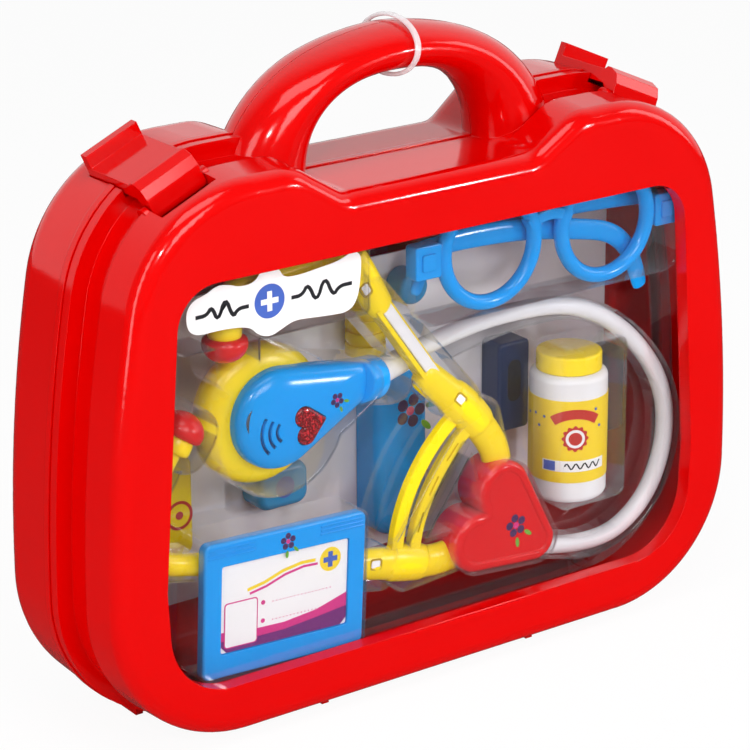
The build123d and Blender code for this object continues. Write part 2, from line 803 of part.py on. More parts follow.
def tray_shape(grow):
    """The tray as a filled block, grown by a sheet for its outside."""
    with BuildPart() as filled:
        with BuildSketch(at(-flange_back)):
            add(case_outline(flange_in + pan_step - grow, flange_under + pan_step - grow,
                             flange_saddle + pan_step - grow))
        extrude(amount=pan_depth + flange_back + grow)
        for outlines, depth in pocket_levels:
            for outline in outlines:
                with BuildSketch(at(pan_depth)):
                    add(outline)
                    if grow:
                        offset(amount=grow, kind=Kind.ARC, mode=Mode.REPLACE)
                extrude(amount=depth - pan_depth + grow)
    return filled.part


with BuildPart() as tray:
    add(tray_shape(sheet))
    with BuildSketch(at(-flange_back)):
        add(case_outline(flange_in, flange_under, flange_saddle))
    extrude(amount=sheet)
    add(tray_shape(0), mode=Mode.SUBTRACT)
finish(tray.part, "tray")

with BuildPart() as backing_card:
    with BuildSketch(at(-card_face)):
        with Locations((0, (card_z[0] + card_z[1]) / 2)):
            Rectangle(2 * card_half, card_z[1] - card_z[0])
    extrude(amount=-card_thick)
    for side in (-1, 1):
        with BuildSketch(at(-card_face)):
            with Locations((side * (card_half - card_thick / 2), (card_z[0] + card_z[1]) / 2)):
                Rectangle(card_thick, card_z[1] - card_z[0])
        extrude(amount=-(half_depth - wall - card_face))
finish(backing_card.part, "backing_card")

# ---- chest piece ----
with BuildPart() as chest_base:
    with BuildSketch(at(bowl_back)):
        with Locations(bowl_at):
            Circle(bowl_r)
    extrude(amount=bowl_front - bowl_back)
    fillet(chest_base.faces().sort_by(Axis.Y)[-1].edges(), bowl_round)
    with BuildSketch(at(bowl_back + bowl_wall)):
        with Locations(bowl_at):
            Circle(bowl_r - 2 * bowl_wall - board_thick)
    extrude(amount=bowl_front, mode=Mode.SUBTRACT)
    with BuildSketch(at(bowl_front - bowl_wall)):
        with Locations(bowl_at):
            Circle(bowl_r - bowl_wall - board_thick)
    extrude(amount=bowl_wall, mode=Mode.SUBTRACT)
    with BuildSketch(at(bowl_back)):
        with Locations(bowl_at):
            Rectangle(*door_size)
    extrude(amount=bowl_wall, mode=Mode.SUBTRACT)
finish(chest_base.part, "chest_base")

with BuildPart() as battery_door:
    with BuildSketch(at(bowl_back)):
        with Locations(bowl_at):
            Rectangle(door_size[0] - seat, door_size[1] - seat)
    extrude(amount=bowl_wall)
    with BuildSketch(at(bowl_back + bowl_wall)):
        with Locations(bowl_at):
            Rectangle(*door_flange)
    extrude(amount=door_flange_thick)
finish(battery_door.part, "battery_door")

with BuildPart() as button_cells:
    for side in (-1, 1):
        with BuildSketch(at(bowl_back + bowl_wall + door_flange_thick)):
            with Locations((bowl_at[0] + side * (cell_r + seat), bowl_at[1])):
                Circle(cell_r)
        extrude(amount=cell_thick)
finish(button_cells.part, "button_cells")

with BuildPart() as circuit_board:
    with BuildSketch(at(bowl_front - bowl_wall)):
        with Locations(bowl_at):
            Circle(bowl_r - bowl_wall - board_thick - seat)
    extrude(amount=board_thick)
    with BuildSketch(at(bowl_front - bowl_wall + board_thick)):
        with Locations(button_at):
            Rectangle(switch_side, switch_side)
    extrude(amount=switch_high)
finish(circuit_board.part, "circuit_board")


grille_middle = (speaker_at[0] + grille_offset[0], speaker_at[1] + grille_offset[1])
grille_arcs = [SlotArc(CenterArc(grille_middle, grille_first + grille_step * step, *grille_span), grille_width)
               for step in range(grille_count)]

with BuildPart() as chest_housing:
    add(block(housing_outline(), housing_front, bowl_front))
    fillet(chest_housing.faces().sort_by(Axis.Y)[0].outer_wire().edges(), housing_round)
    add(block(housing_outline(-2 * bowl_wall), housing_front - bowl_wall, bowl_front), mode=Mode.SUBTRACT)
    barrel_start, barrel_end = [Vector(x, -depth, z) for x, depth, z in neck_barrel]
    lip_start = barrel_end + (barrel_start - barrel_end) * neck_lip
    add(round_rod(barrel_start, barrel_end, housing_end_r, housing_end_r))
    add(round_rod(lip_start, barrel_end, housing_end_r + neck_flange, housing_end_r + neck_flange))
    add(block(button_outline(button_gap), housing_front, housing_front - bowl_wall), mode=Mode.SUBTRACT)
    for grille_arc in grille_arcs:
        add(block(grille_arc, housing_front, housing_front - bowl_wall), mode=Mode.SUBTRACT)
finish(chest_housing.part, "chest_housing")

with BuildPart() as speaker:
    with BuildSketch(at(housing_front - bowl_wall)):
        with Locations(speaker_at):
            Circle(speaker_r)
    extrude(amount=-speaker_thick)
finish(speaker.part, "speaker")

with BuildPart() as heart_button:
    flange_front = housing_front - bowl_wall - pin_fit
    switch_top = bowl_front - bowl_wall + board_thick + switch_high
    add(block(button_outline(), housing_front + button_proud, flange_front - button_flange))
    fillet(heart_button.faces().sort_by(Axis.Y)[0].outer_wire().edges(), button_round)
    add(block(button_outline(button_flange), flange_front, flange_front - button_flange))
    with BuildSketch(at(switch_top + button_travel + pin_fit)):
        with Locations(button_at):
            Circle(button_stem_r)
    extrude(amount=flange_front - button_flange - switch_top - button_travel - pin_fit)
finish(heart_button.part, "heart_button")

with BuildPart() as tube_neck:
    add(round_bar(neck_start, route_places[-1], neck_r, neck_r, neck_depth))
    add(chest_housing.part, mode=Mode.SUBTRACT)
finish(tube_neck.part, "tube_neck")

with BuildPart() as stethoscope_tube:
    points = [Vector(x, -depth, z) for x, depth, z in tube_route]
    radii = bend_radii(points)
    with BuildLine() as route:
        FilletPolyline(*points, radius=radii)
    with BuildSketch(Plane(origin=route.line @ 0, z_dir=route.line % 0)):
        Circle(tube_r)
    sweep()
print("tube radii", [round(radius, 1) for radius in radii])
finish(stethoscope_tube.part, "stethoscope_tube")

# ---- hub and arms ----
with BuildPart() as hub_back:
    add(block(hub_outline(), hub_middle, hub_back_depth))
    fillet(hub_back.faces().sort_by(Axis.Y)[-1].outer_wire().edges(), hub_round)
    add(round_bar(socket_start, route_places[0], socket_r, socket_r, tube_depth))
    with BuildSketch(at(hub_back_depth)):
        with Locations(*hub_screw_places):
            Circle(hub_screw_head_r + pin_fit)
    extrude(amount=hub_screw_head_r, mode=Mode.SUBTRACT)
    with BuildSketch(at(hub_back_depth)):
        with Locations(*hub_screw_places):
            Circle(hub_screw_r + pin_fit)
    extrude(amount=hub_middle, mode=Mode.SUBTRACT)
finish(hub_back.part, "hub_back")

with BuildPart() as hub_front:
    add(block(hub_outline(), toy_front, hub_middle))
    fillet(hub_front.faces().sort_by(Axis.Y)[0].outer_wire().edges(), hub_round)
    add(block(hub_outline(-hub_rim), toy_front, toy_front - hub_recess), mode=Mode.SUBTRACT)
    with BuildSketch(at(hub_middle)):
        with Locations(*hub_screw_places):
            Circle(hub_screw_r + pin_fit)
    extrude(amount=hub_rim, mode=Mode.SUBTRACT)
finish(hub_front.part, "hub_front")

with BuildPart() as hub_screws:
    with BuildSketch(at(hub_back_depth + hub_screw_head_r / 2)):
        with Locations(*hub_screw_places):
            Circle(hub_screw_head_r)
    extrude(amount=hub_screw_head_r / 2)
    with BuildSketch(at(hub_back_depth + hub_screw_head_r)):
        with Locations(*hub_screw_places):
            Circle(hub_screw_r)
    extrude(amount=hub_middle - hub_back_depth)
finish(hub_screws.part, "hub_screws")

arm_middle = (arm_front + arm_back) / 2
tongue_half = 1.2
tongue_width = 8.0


def pin_holes():
    with BuildSketch() as squares:
        for place, run in zip(pin_places, (arm_upper_run, arm_upper_run, arm_lower_run)):
            turn = math.degrees(math.atan2(run[1][1] - run[0][1], run[1][0] - run[0][0]))
            with Locations(Location((place[0], place[1], 0), (0, 0, turn))):
                Rectangle(pin_side + 2 * pin_fit, pin_side + 2 * pin_fit)
    return squares.sketch


def yoke(lobe_side, knuckle, pin):
    """Bent arm root from the hub to its knuckle, with the tongue of its hinge."""
    turn = math.radians(hub_turn)
    root = (hub_notch[0] + hub_lobe[0] * math.cos(turn) - lobe_side * hub_lobe[1] * math.sin(turn),
            hub_notch[1] + hub_lobe[0] * math.sin(turn) + lobe_side * hub_lobe[1] * math.cos(turn))
    with BuildPart() as piece:
        add(round_bar(root, knuckle, ear_tube_r, ear_tube_r - seat, arm_middle))
        add(block(disc(knuckle, knuckle_r), arm_front, arm_back))
        add(block(slots([knuckle, pin], tongue_width), arm_middle + tongue_half, arm_middle - tongue_half))
        add(block(hub_outline(pin_fit), toy_front, hub_back_depth), mode=Mode.SUBTRACT)
        add(block(pin_holes(), toy_front, hub_back_depth), mode=Mode.SUBTRACT)
    return piece.part


def arm(run, knuckle, pin):
    """Telescoping arm: a channel with its rod's recess and its hinge's slot."""
    with BuildPart() as piece:
        add(block(slots(run, arm_width), arm_front, arm_back))
        add(block(disc(knuckle, knuckle_r + pin_fit), arm_front, arm_back), mode=Mode.SUBTRACT)
        add(block(slots([knuckle, pin], tongue_width + 2 * pin_fit), arm_middle + tongue_half + pin_fit,
                  arm_middle - tongue_half - pin_fit), mode=Mode.SUBTRACT)
        add(block(slots(rod_run(run), rod_width + 2 * rod_fit), arm_front, arm_front - rod_thick),
            mode=Mode.SUBTRACT)
        add(block(pin_holes(), toy_front, hub_back_depth), mode=Mode.SUBTRACT)
    return piece.part


def rod_run(run):
    return [between(run, rod_span[0]), between(run, rod_span[1])]


finish(yoke(1, knuckle_upper, pin_places[0]), "yoke_upper")
finish(yoke(-1, knuckle_lower, pin_places[2]), "yoke_lower")
arm_upper = arm(arm_upper_run, knuckle_upper, pin_places[0])
arm_lower = arm(arm_lower_run, knuckle_lower, pin_places[2])
finish(arm_upper, "arm_upper")
finish(arm_lower, "arm_lower")

with BuildPart() as slide_rods:
    for run in (arm_upper_run, arm_lower_run):
        add(block(slots(rod_run(run), rod_width), arm_front - rod_fit, arm_front - rod_thick))
finish(slide_rods.part, "slide_rods")

with BuildPart() as pivot_pins:
    with BuildSketch(at(arm_back)):
        add(pin_holes())
        offset(amount=-pin_fit, mode=Mode.REPLACE)
    extrude(amount=arm_front - arm_back)
finish(pivot_pins.part, "pivot_pins")

with BuildPart() as ear_tube_upper:
    add(round_path(ear_upper_run, arm_middle, ear_tube_r, ear_bend_r))
    add(block(slots(arm_upper_run, arm_width + 2 * pin_fit), arm_front + ear_tube_r, arm_back - ear_tube_r),
        mode=Mode.SUBTRACT)
finish(ear_tube_upper.part, "ear_tube_upper")

with BuildPart() as ear_tube_lower:
    add(round_path(ear_lower_run, arm_middle, ear_tube_r, ear_bend_r))
    add(block(slots(arm_lower_run, arm_width + 2 * pin_fit), arm_front + ear_tube_r, arm_back - ear_tube_r),
        mode=Mode.SUBTRACT)
finish(ear_tube_lower.part, "ear_tube_lower")

with BuildPart() as ear_collars:
    for run, way in ((ear_upper_run, -1), (ear_lower_run, 1)):
        with BuildSketch(Plane.XY.offset(run[-1][1])):
            with Locations((run[-1][0], -arm_middle)):
                Circle(collar_r)
        extrude(amount=way * collar_long)
finish(ear_collars.part, "ear_collars")

with BuildPart() as ear_tips:
    for run, way in ((ear_upper_run, -1), (ear_lower_run, 1)):
        with BuildSketch(Plane.XY.offset(run[-1][1] + way * collar_long)):
            with Locations((run[-1][0], -arm_middle)):
                Circle(tip_r)
        extrude(amount=way * tip_long)
    fillet(ear_tips.edges().filter_by(GeomType.CIRCLE), tip_round)
finish(ear_tips.part, "ear_tips")

with BuildPart() as spring_band:
    for (high, low), width in zip((slat_left, slat_right), slat_widths):
        add(block(slots([knuckle_upper, high, low, knuckle_lower], width), slat_front,
                  slat_front - slat_thick))
    for knuckle in (knuckle_upper, knuckle_lower):
        add(block(disc(knuckle, knuckle_r + pin_fit), arm_front, arm_back), mode=Mode.SUBTRACT)
finish(spring_band.part, "spring_band")

# ---- glasses ----
glasses_back = toy_front - glasses_thick
temple_back = glasses_back - 2 * (temple_gap + temple_thick)
with BuildPart() as glasses_frame:
    with BuildSketch(at(glasses_back)):
        with Locations(*lens_places):
            Circle(lens_out)
        add(slots(lens_places, temple_wide))
        add(slots([lens_places[0], (block_places[0][0], lens_places[0][1])], temple_wide))
        add(slots([lens_places[1], (block_places[1][0], lens_places[1][1])], temple_wide))
        with Locations(*lens_places):
            Circle(lens_in, mode=Mode.SUBTRACT)
    extrude(amount=glasses_thick)
    with BuildSketch(at(temple_back)):
        with Locations(*block_places):
            Rectangle(*hinge_block)
    extrude(amount=toy_front - temple_back)
    fillet(glasses_frame.edges().filter_by(GeomType.CIRCLE).filter_by(lambda edge: edge.radius < lens_in + 1),
           lens_edge)
finish(glasses_frame.part, "glasses_frame")

for order, (name, start, hook) in enumerate((("temple_left", block_places[0], temple_hook[0]),
                                             ("temple_right", block_places[1],
                                              block_places[0][0] + block_places[1][0] - temple_hook[0]))):
    way = 1 - 2 * order
    front = glasses_back - temple_gap - order * (temple_gap + temple_thick)
    root = (start[0] + way * (hinge_block[0] / 2 + seat + temple_wide / 2), start[1])
    corner = (hook - way * temple_bend, start[1])
    temple = block(slots([root, corner, (hook, temple_hook[1])], temple_wide), front, front - temple_thick)
    finish(temple, name)

# ---- bottle ----
bottle_depth = toy_front - bottle_r
bottle_plane = Plane(origin=(bottle_at[0], -bottle_depth, bottle_at[1]))
with BuildPart() as bottle:
    with BuildSketch(bottle_plane):
        Circle(bottle_r)
    extrude(amount=bottle_high)
    fillet(bottle.edges(), bottle_round)
    with BuildSketch(bottle_plane.offset(bottle_high)):
        Circle(bottle_neck_r)
    extrude(amount=bottle_neck_high)
    with BuildSketch(bottle_plane.offset(bottle_wall)):
        Circle(bottle_r - bottle_wall)
    extrude(amount=bottle_high - 2 * bottle_wall, mode=Mode.SUBTRACT)
    with BuildSketch(bottle_plane.offset(bottle_wall)):
        Circle(bottle_neck_r - bottle_wall)
    extrude(amount=bottle_high + bottle_neck_high, mode=Mode.SUBTRACT)
finish(bottle.part, "bottle")

with BuildPart() as bottle_cap:
    with BuildSketch(bottle_plane.offset(bottle_high + cap_gap)):
        Circle(cap_r)
    extrude(amount=cap_high)
    fillet(bottle_cap.faces().sort_by(Axis.Z)[-1].edges(), cap_round)
    with BuildSketch(bottle_plane.offset(bottle_high + cap_gap)):
        Circle(bottle_neck_r + cap_gap)
    extrude(amount=bottle_neck_high, mode=Mode.SUBTRACT)
finish(bottle_cap.part, "bottle_cap")

with BuildPart() as bottle_label:
    with BuildSketch(bottle_plane.offset(label_z[0])):
        Circle(bottle_r + label_thick)
        Circle(bottle_r, mode=Mode.SUBTRACT)
    extrude(amount=label_z[1] - label_z[0])
finish(bottle_label.part, "bottle_label")

# ---- badge ----
with BuildPart() as badge_frame:
    add(block(badge_place(rounded(badge_size, badge_round)), toy_front, toy_front - badge_thick))
    fillet(badge_frame.faces().sort_by(Axis.Y)[0].outer_wire().edges(), badge_edge)
    window_size = (badge_card_size[0] + 2 * seat, badge_card_size[1] + 2 * seat)
    add(block(badge_place(rounded(window_size, badge_card_round)), toy_front, toy_front - badge_card_drop),
        mode=Mode.SUBTRACT)
finish(badge_frame.part, "badge_frame")

with BuildPart() as badge_card:
    card_front = toy_front - badge_card_drop + badge_card_thick
    card_outline = badge_place(rounded(badge_card_size, badge_card_round))
    add(block(card_outline, card_front, card_front - badge_card_thick))
finish(badge_card.part, "badge_card")

with BuildPart() as badge_clip:
    clip_front = toy_front - badge_thick
    clip_at = (badge_at[0], badge_at[1] - badge_size[1] / 3)
    add(block(plain(clip_at, clip_size), clip_front, clip_front - clip_thick))
    add(block(plain(clip_at, (clip_size[0] - clip_thick, clip_size[1])), clip_front - clip_thick / 3,
              clip_front - 2 * clip_thick / 3), mode=Mode.SUBTRACT)
finish(badge_clip.part, "badge_clip")

# ---- loose toys in the rear shell ----


def loose(name, outline, front=0.0, edge=loose_edge):
    """Toy lying on the backing card, its front edges rounded."""
    with BuildPart() as toy:
        with BuildSketch(at(-loose_back)):
            add(outline)
        extrude(amount=loose_back - loose_front - front)
        fillet(toy.faces().sort_by(Axis.Y)[0].outer_wire().edges(), edge)
    finish(toy.part, name)


def placed(place, size, radius):
    return Pos(*place) * rounded(size, radius)


loose("otoscope_handle", placed(handle_at, handle_size, handle_round[0]), edge=handle_round[1])
loose("otoscope_lens", disc(lens_at, lens_r), front=lens_set)
loose("thermometer", placed(thermometer_at, thermometer_size, slim_round), front=slim_set)
loose("hammer_head", placed(hammer_at, hammer_size, slim_round), front=slim_set, edge=hammer_edge)
loose("pager", placed(pager_at, pager_size, box_round), front=box_set, edge=box_edge)
loose("pill_box", placed(pill_box_at, pill_box_size, box_round), front=box_set, edge=box_edge)

with BuildPart() as otoscope_head:
    head_depth = head_r - loose_back
    with BuildSketch(Plane(origin=(head_at[0], -head_depth, head_at[1] - head_long / 2))):
        Circle(head_r)
    extrude(amount=head_long)
    for ring in range(groove_count):
        groove_z = head_at[1] - head_long / 2 + groove_first + groove_step * ring
        with BuildSketch(Plane(origin=(head_at[0], -head_depth, groove_z))):
            Circle(head_r)
            Circle(head_r - groove_deep, mode=Mode.SUBTRACT)
        extrude(amount=groove_wide, mode=Mode.SUBTRACT)
finish(otoscope_head.part, "otoscope_head")

with BuildPart() as window_sticker:
    with BuildSketch(at(deep + sheet)):
        with BuildLine():
            Polyline(*sticker_outline, sticker_outline[0])
        make_face()
    extrude(amount=sticker_thick)
finish(window_sticker.part, "window_sticker")
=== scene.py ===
import json
import math
import bpy
import bmesh
import numpy as np
from mathutils import Euler, Matrix, Vector
from mathutils.bvhtree import BVHTree

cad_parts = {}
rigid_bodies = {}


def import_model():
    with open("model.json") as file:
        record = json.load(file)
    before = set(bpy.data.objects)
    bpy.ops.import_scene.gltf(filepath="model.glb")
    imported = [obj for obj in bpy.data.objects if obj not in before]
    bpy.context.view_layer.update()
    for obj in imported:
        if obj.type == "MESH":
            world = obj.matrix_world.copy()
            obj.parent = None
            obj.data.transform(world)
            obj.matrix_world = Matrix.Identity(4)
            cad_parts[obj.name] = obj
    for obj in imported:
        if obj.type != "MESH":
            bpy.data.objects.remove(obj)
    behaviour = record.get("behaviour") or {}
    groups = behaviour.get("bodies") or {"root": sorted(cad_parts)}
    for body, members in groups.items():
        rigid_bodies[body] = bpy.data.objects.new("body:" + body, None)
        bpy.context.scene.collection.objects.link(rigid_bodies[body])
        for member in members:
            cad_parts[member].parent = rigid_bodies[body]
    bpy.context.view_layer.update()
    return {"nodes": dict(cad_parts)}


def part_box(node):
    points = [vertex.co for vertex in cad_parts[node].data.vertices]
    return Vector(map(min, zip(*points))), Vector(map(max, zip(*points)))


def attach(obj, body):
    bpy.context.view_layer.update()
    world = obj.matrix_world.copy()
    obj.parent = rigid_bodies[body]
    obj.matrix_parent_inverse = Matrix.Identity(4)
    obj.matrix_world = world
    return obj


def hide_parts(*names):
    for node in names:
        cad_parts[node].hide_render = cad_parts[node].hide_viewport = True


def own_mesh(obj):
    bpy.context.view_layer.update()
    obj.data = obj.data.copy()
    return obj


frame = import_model()
nodes = frame["nodes"]
print("frame loaded:", len(nodes), "nodes")

# Places below are (X, depth, Z) in millimetres: depth is how far a point is ahead of the seam.
mm = 0.001
rear = "rear"


def spot(x, depth, z):
    return Vector((x, -depth, z)) * mm


def addNode(tree, kind, values=None, **settings):
    # a node with its own settings, then the values of its sockets
    node = tree.nodes.new(kind)
    for setting, value in settings.items():
        setattr(node, setting, value)
    for socket, value in (values or {}).items():
        node.inputs[socket].default_value = value
    return node


def linker(tree):
    def link(source, output, target, socket):
        tree.links.new(source.outputs[output], target.inputs[socket])
    return link


# camera, lamps and floor
camera = {"place": (-599.35, 827.26, 481.16), "pitch": -19.99, "turn": -35.69, "roll": 0.27, "lens": 141.5}
lamps = {
    # name: place, aimed at, width, height, watts
    "leftBox": ((-950, 250, 420), (0, 0, 110), 240, 900, 3.4),
    "topBox": ((-250, 350, 1150), (0, 0, 120), 800, 420, 4.4),
    "frontBox": ((-150, 1250, 800), (0, 0, 110), 620, 460, 6.0),
    "rightBox": ((950, 500, 520), (0, 0, 110), 260, 800, 2.6),
    "glintLeft": ((-800, 900, 900), (0, 0, 110), 70, 70, 3.2),
    "glintRight": ((700, 1000, 350), (0, 0, 110), 60, 140, 3.0),
}
# dim, fill and dark are how bright the studio is to shiny surfaces, to soft light and in front of the case
room = {"dim": 0.035, "fill": 0.33, "white": 1.0, "dark": 0.10, "behind": (0.56, 0.83, 0.0),
        "floorSize": 6, "floorBelow": 0.0002, "floorGlow": 0.94, "floorGrain": 3,
        "floorDark": (0.9, 0.9, 0.9, 1), "floorPale": (0.93, 0.93, 0.93, 1)}


def addCamera():
    turn = Euler((math.radians(90 + camera["pitch"]), 0, math.radians(camera["turn"]))).to_matrix()
    turn = turn @ Matrix.Rotation(math.radians(-camera["roll"]), 3, "Z")
    bpy.ops.object.camera_add(location=spot(*camera["place"]), rotation=turn.to_euler())
    shot = bpy.context.object
    shot.name = "camera"
    shot.data.lens = camera["lens"]
    shot.data.clip_start = 0.01
    bpy.context.scene.camera = shot


def addLamps():
    for name, (place, aim, width, height, watts) in lamps.items():
        aimed = (spot(*aim) - spot(*place)).to_track_quat("-Z", "Y").to_euler()
        bpy.ops.object.light_add(type="AREA", location=spot(*place), rotation=aimed)
        lamp = bpy.context.object
        lamp.name = name
        lamp.data.shape = "RECTANGLE"
        lamp.data.size = width * mm
        lamp.data.size_y = height * mm
        lamp.data.energy = watts


def addRoom():
    world = bpy.data.worlds.new("room")
    bpy.context.scene.world = world
    world.use_nodes = True
    tree = world.node_tree
    tree.nodes.clear()
    link = linker(tree)
    out = addNode(tree, "ShaderNodeOutputWorld")
    mix = addNode(tree, "ShaderNodeMixShader")
    fill = addNode(tree, "ShaderNodeBackground", {"Color": (1, 1, 1, 1)})
    white = addNode(tree, "ShaderNodeBackground", {"Color": (1, 1, 1, 1), "Strength": room["white"]})
    rays = addNode(tree, "ShaderNodeLightPath")
    # shiny surfaces see the white backdrop behind the case and a darker studio in front of it
    toward = addNode(tree, "ShaderNodeTexCoord")
    behind = addNode(tree, "ShaderNodeVectorMath", {1: room["behind"]}, operation="DOT_PRODUCT")
    side = addNode(tree, "ShaderNodeMapRange",
                   {"From Min": 0.0, "From Max": 0.5, "To Min": room["dark"], "To Max": 1.0})
    seen = addNode(tree, "ShaderNodeMath", operation="MULTIPLY")
    total = addNode(tree, "ShaderNodeMath", operation="ADD")
    both = addNode(tree, "ShaderNodeMath", operation="ADD", use_clamp=True)
    # what is lit softly sees the fill, what is shiny sees a dim studio
    dim = addNode(tree, "ShaderNodeMapRange", {"To Min": room["fill"], "To Max": room["dim"]})
    link(rays, "Is Glossy Ray", dim, "Value")
    link(dim, "Result", fill, "Strength")
    link(toward, "Generated", behind, 0)
    link(behind, "Value", side, "Value")
    link(side, "Result", seen, 0)
    link(rays, "Is Glossy Ray", seen, 1)
    link(rays, "Is Camera Ray", total, 0)
    link(rays, "Is Transmission Ray", total, 1)
    link(total, 0, both, 0)
    link(seen, 0, both, 1)
    link(both, 0, mix, "Fac")
    link(fill, 0, mix, 1)
    link(white, 0, mix, 2)
    link(mix, 0, out, "Surface")


def addFloor():
    bpy.ops.mesh.primitive_plane_add(size=room["floorSize"], location=(0, 0, -room["floorBelow"]))
    floor = bpy.context.object
    floor.name = "floor"
    material = bpy.data.materials.new("floor_white")
    material.use_nodes = True
    tree = material.node_tree
    tree.nodes.clear()
    link = linker(tree)
    out = addNode(tree, "ShaderNodeOutputMaterial")
    paint = addNode(tree, "ShaderNodeBsdfDiffuse")
    grain = addNode(tree, "ShaderNodeTexNoise", {"Scale": room["floorGrain"]})
    tint = addNode(tree, "ShaderNodeMix", {"A": room["floorDark"], "B": room["floorPale"]}, data_type="RGBA")
    glow = addNode(tree, "ShaderNodeEmission")
    share = addNode(tree, "ShaderNodeMath", {1: room["floorGlow"]}, operation="MULTIPLY")
    rays = addNode(tree, "ShaderNodeLightPath")
    mix = addNode(tree, "ShaderNodeMixShader")
    link(grain, "Fac", tint, "Factor")
    link(tint, "Result", paint, "Color")
    # bright to the camera, dim in the case's own reflections
    either = addNode(tree, "ShaderNodeMath", operation="MAXIMUM")
    strength = addNode(tree, "ShaderNodeMapRange", {"To Min": 1.0, "To Max": room["dim"]})
    link(rays, "Is Glossy Ray", strength, "Value")
    link(strength, "Result", glow, "Strength")
    link(rays, "Is Camera Ray", either, 0)
    link(rays, "Is Glossy Ray", either, 1)
    link(either, 0, share, 0)
    link(share, 0, mix, "Fac")
    link(paint, 0, mix, 1)
    link(glow, 0, mix, 2)
    link(mix, 0, out, "Surface")
    floor.data.materials.append(material)


bpy.context.scene.view_settings.view_transform = "Standard"
addCamera()
addLamps()
addRoom()
addFloor()
print("camera, lamps and floor placed")

# finishes
# colour and shade are the moulded colour and its darker streaks, flow the streaks' scale, edge the softened
# edge's radius in mm; what a finish doesn't say is as in plain
plain = {"rough": (0.2, 0.3), "flow": 50, "grain": 1500, "bump": 0.02, "edge": 0.5, "metal": 0.0,
         "shine": 0.5, "sharp": (0.0, 1.0)}
paper = {"flow": 200, "grain": 3000, "bump": 0.01, "edge": 0.05}
ink = {"rough": (0.3, 0.4), "flow": 300, "grain": 3000, "bump": 0.01, "edge": 0.02}
finishes = {
    "red_plastic": {"colour": (0.68, 0.0, 0.0), "shade": (0.60, 0.0, 0.0), "rough": (0.08, 0.14),
                    "flow": 14, "grain": 900, "shine": 0.36},
    "yellow_plastic": {"colour": (1.0, 0.78, 0.0), "shade": (0.97, 0.70, 0.0), "rough": (0.22, 0.34),
                       "flow": 60, "bump": 0.03},
    "blue_plastic": {"colour": (0.0, 0.36, 0.90), "shade": (0.0, 0.31, 0.82), "rough": (0.14, 0.22)},
    "pale_blue_plastic": {"colour": (0.03, 0.36, 0.72), "shade": (0.02, 0.30, 0.64), "edge": 0.8},
    "navy_plastic": {"colour": (0.015, 0.04, 0.14), "shade": (0.01, 0.03, 0.11), "rough": (0.25, 0.4),
                     "bump": 0.03, "edge": 0.6},
    "heart_red": {"colour": (0.85, 0.02, 0.03), "shade": (0.14, 0.0, 0.002), "rough": (0.08, 0.14),
                  "flow": 1300, "sharp": (0.50, 0.66), "grain": 1800, "bump": 0.05, "edge": 0.4},
    "hub_red": {"colour": (0.74, 0.0, 0.002), "shade": (0.66, 0.0, 0.001), "rough": (0.10, 0.18),
                "bump": 0.03},
    "tip_red": {"colour": (0.74, 0.006, 0.005), "shade": (0.66, 0.004, 0.004), "flow": 60, "edge": 0.6},
    "white_plastic": {"colour": (0.86, 0.86, 0.87), "shade": (0.80, 0.80, 0.82), "flow": 60, "edge": 0.4},
    "white_soft": {"colour": (0.86, 0.86, 0.88), "shade": (0.80, 0.80, 0.83), "rough": (0.3, 0.42),
                   "flow": 40, "grain": 1200, "bump": 0.03, "edge": 0.3},
    "label_paper": {**paper, "colour": (0.90, 0.90, 0.90), "shade": (0.86, 0.86, 0.86),
                    "rough": (0.25, 0.35)},
    "sticker_paper": {**paper, "colour": (0.90, 0.90, 0.90), "shade": (0.86, 0.86, 0.87),
                      "rough": (0.3, 0.4)},
    "board_green": {"colour": (0.02, 0.16, 0.06), "shade": (0.01, 0.12, 0.04), "rough": (0.3, 0.4),
                    "flow": 200, "grain": 900, "edge": 0.1},
    "cell_steel": {"colour": (0.6, 0.6, 0.6), "shade": (0.5, 0.5, 0.5), "rough": (0.2, 0.35),
                   "flow": 300, "grain": 2000, "edge": 0.2, "metal": 1.0},
    "ink_black": {**ink, "colour": (0.02, 0.02, 0.025), "shade": (0.012, 0.012, 0.016)},
    # navy: painted shade in the chest piece's grille grooves
    "groove_shade_navy": {**ink, "colour": (0.0, 0.06, 0.20), "shade": (0.0, 0.05, 0.17)},
    "ink_blue": {**ink, "colour": (0.06, 0.14, 0.55), "shade": (0.05, 0.11, 0.48)},
    "ink_plum": {**ink, "colour": (0.07, 0.02, 0.12), "shade": (0.05, 0.012, 0.09)},
    "ink_green": {**ink, "colour": (0.16, 0.46, 0.03), "shade": (0.12, 0.38, 0.02)},
    "ink_pink": {**ink, "colour": (0.72, 0.03, 0.26), "shade": (0.62, 0.02, 0.22)},
    "ink_purple": {**ink, "colour": (0.20, 0.02, 0.20), "shade": (0.16, 0.015, 0.17)},
    "ink_red": {**ink, "colour": (0.60, 0.03, 0.015), "shade": (0.52, 0.02, 0.01)},
    # darker yellow: painted shade in the slots round the white pins
    "slot_shade_yellow": {**ink, "colour": (0.55, 0.36, 0.0), "shade": (0.46, 0.30, 0.0), "edge": 0.1},
    "ink_yellow": {**ink, "colour": (0.93, 0.70, 0.01), "shade": (0.88, 0.62, 0.01)},
}
grainDepth = 0.0005
clearSheet = {"haze": 0.004, "edgeHaze": 0.24, "gloss": 0.04, "rough": 0.03, "ripple": 0.05,
              "rippleScale": 60, "tint": (0.985, 0.98, 0.985)}
tieClear = {"haze": 0.45, "edgeHaze": 0.35, "gloss": 0.04, "rough": 0.12, "ripple": 0.01,
            "rippleScale": 90, "tint": (0.95, 0.93, 0.93)}
# milk in the clear sheets, how deep their ripples are, and their gloss where they are seen edge on
sheetMilk, rippleDepth, edgeGloss = (0.9, 0.88, 0.9), 0.004, 0.9
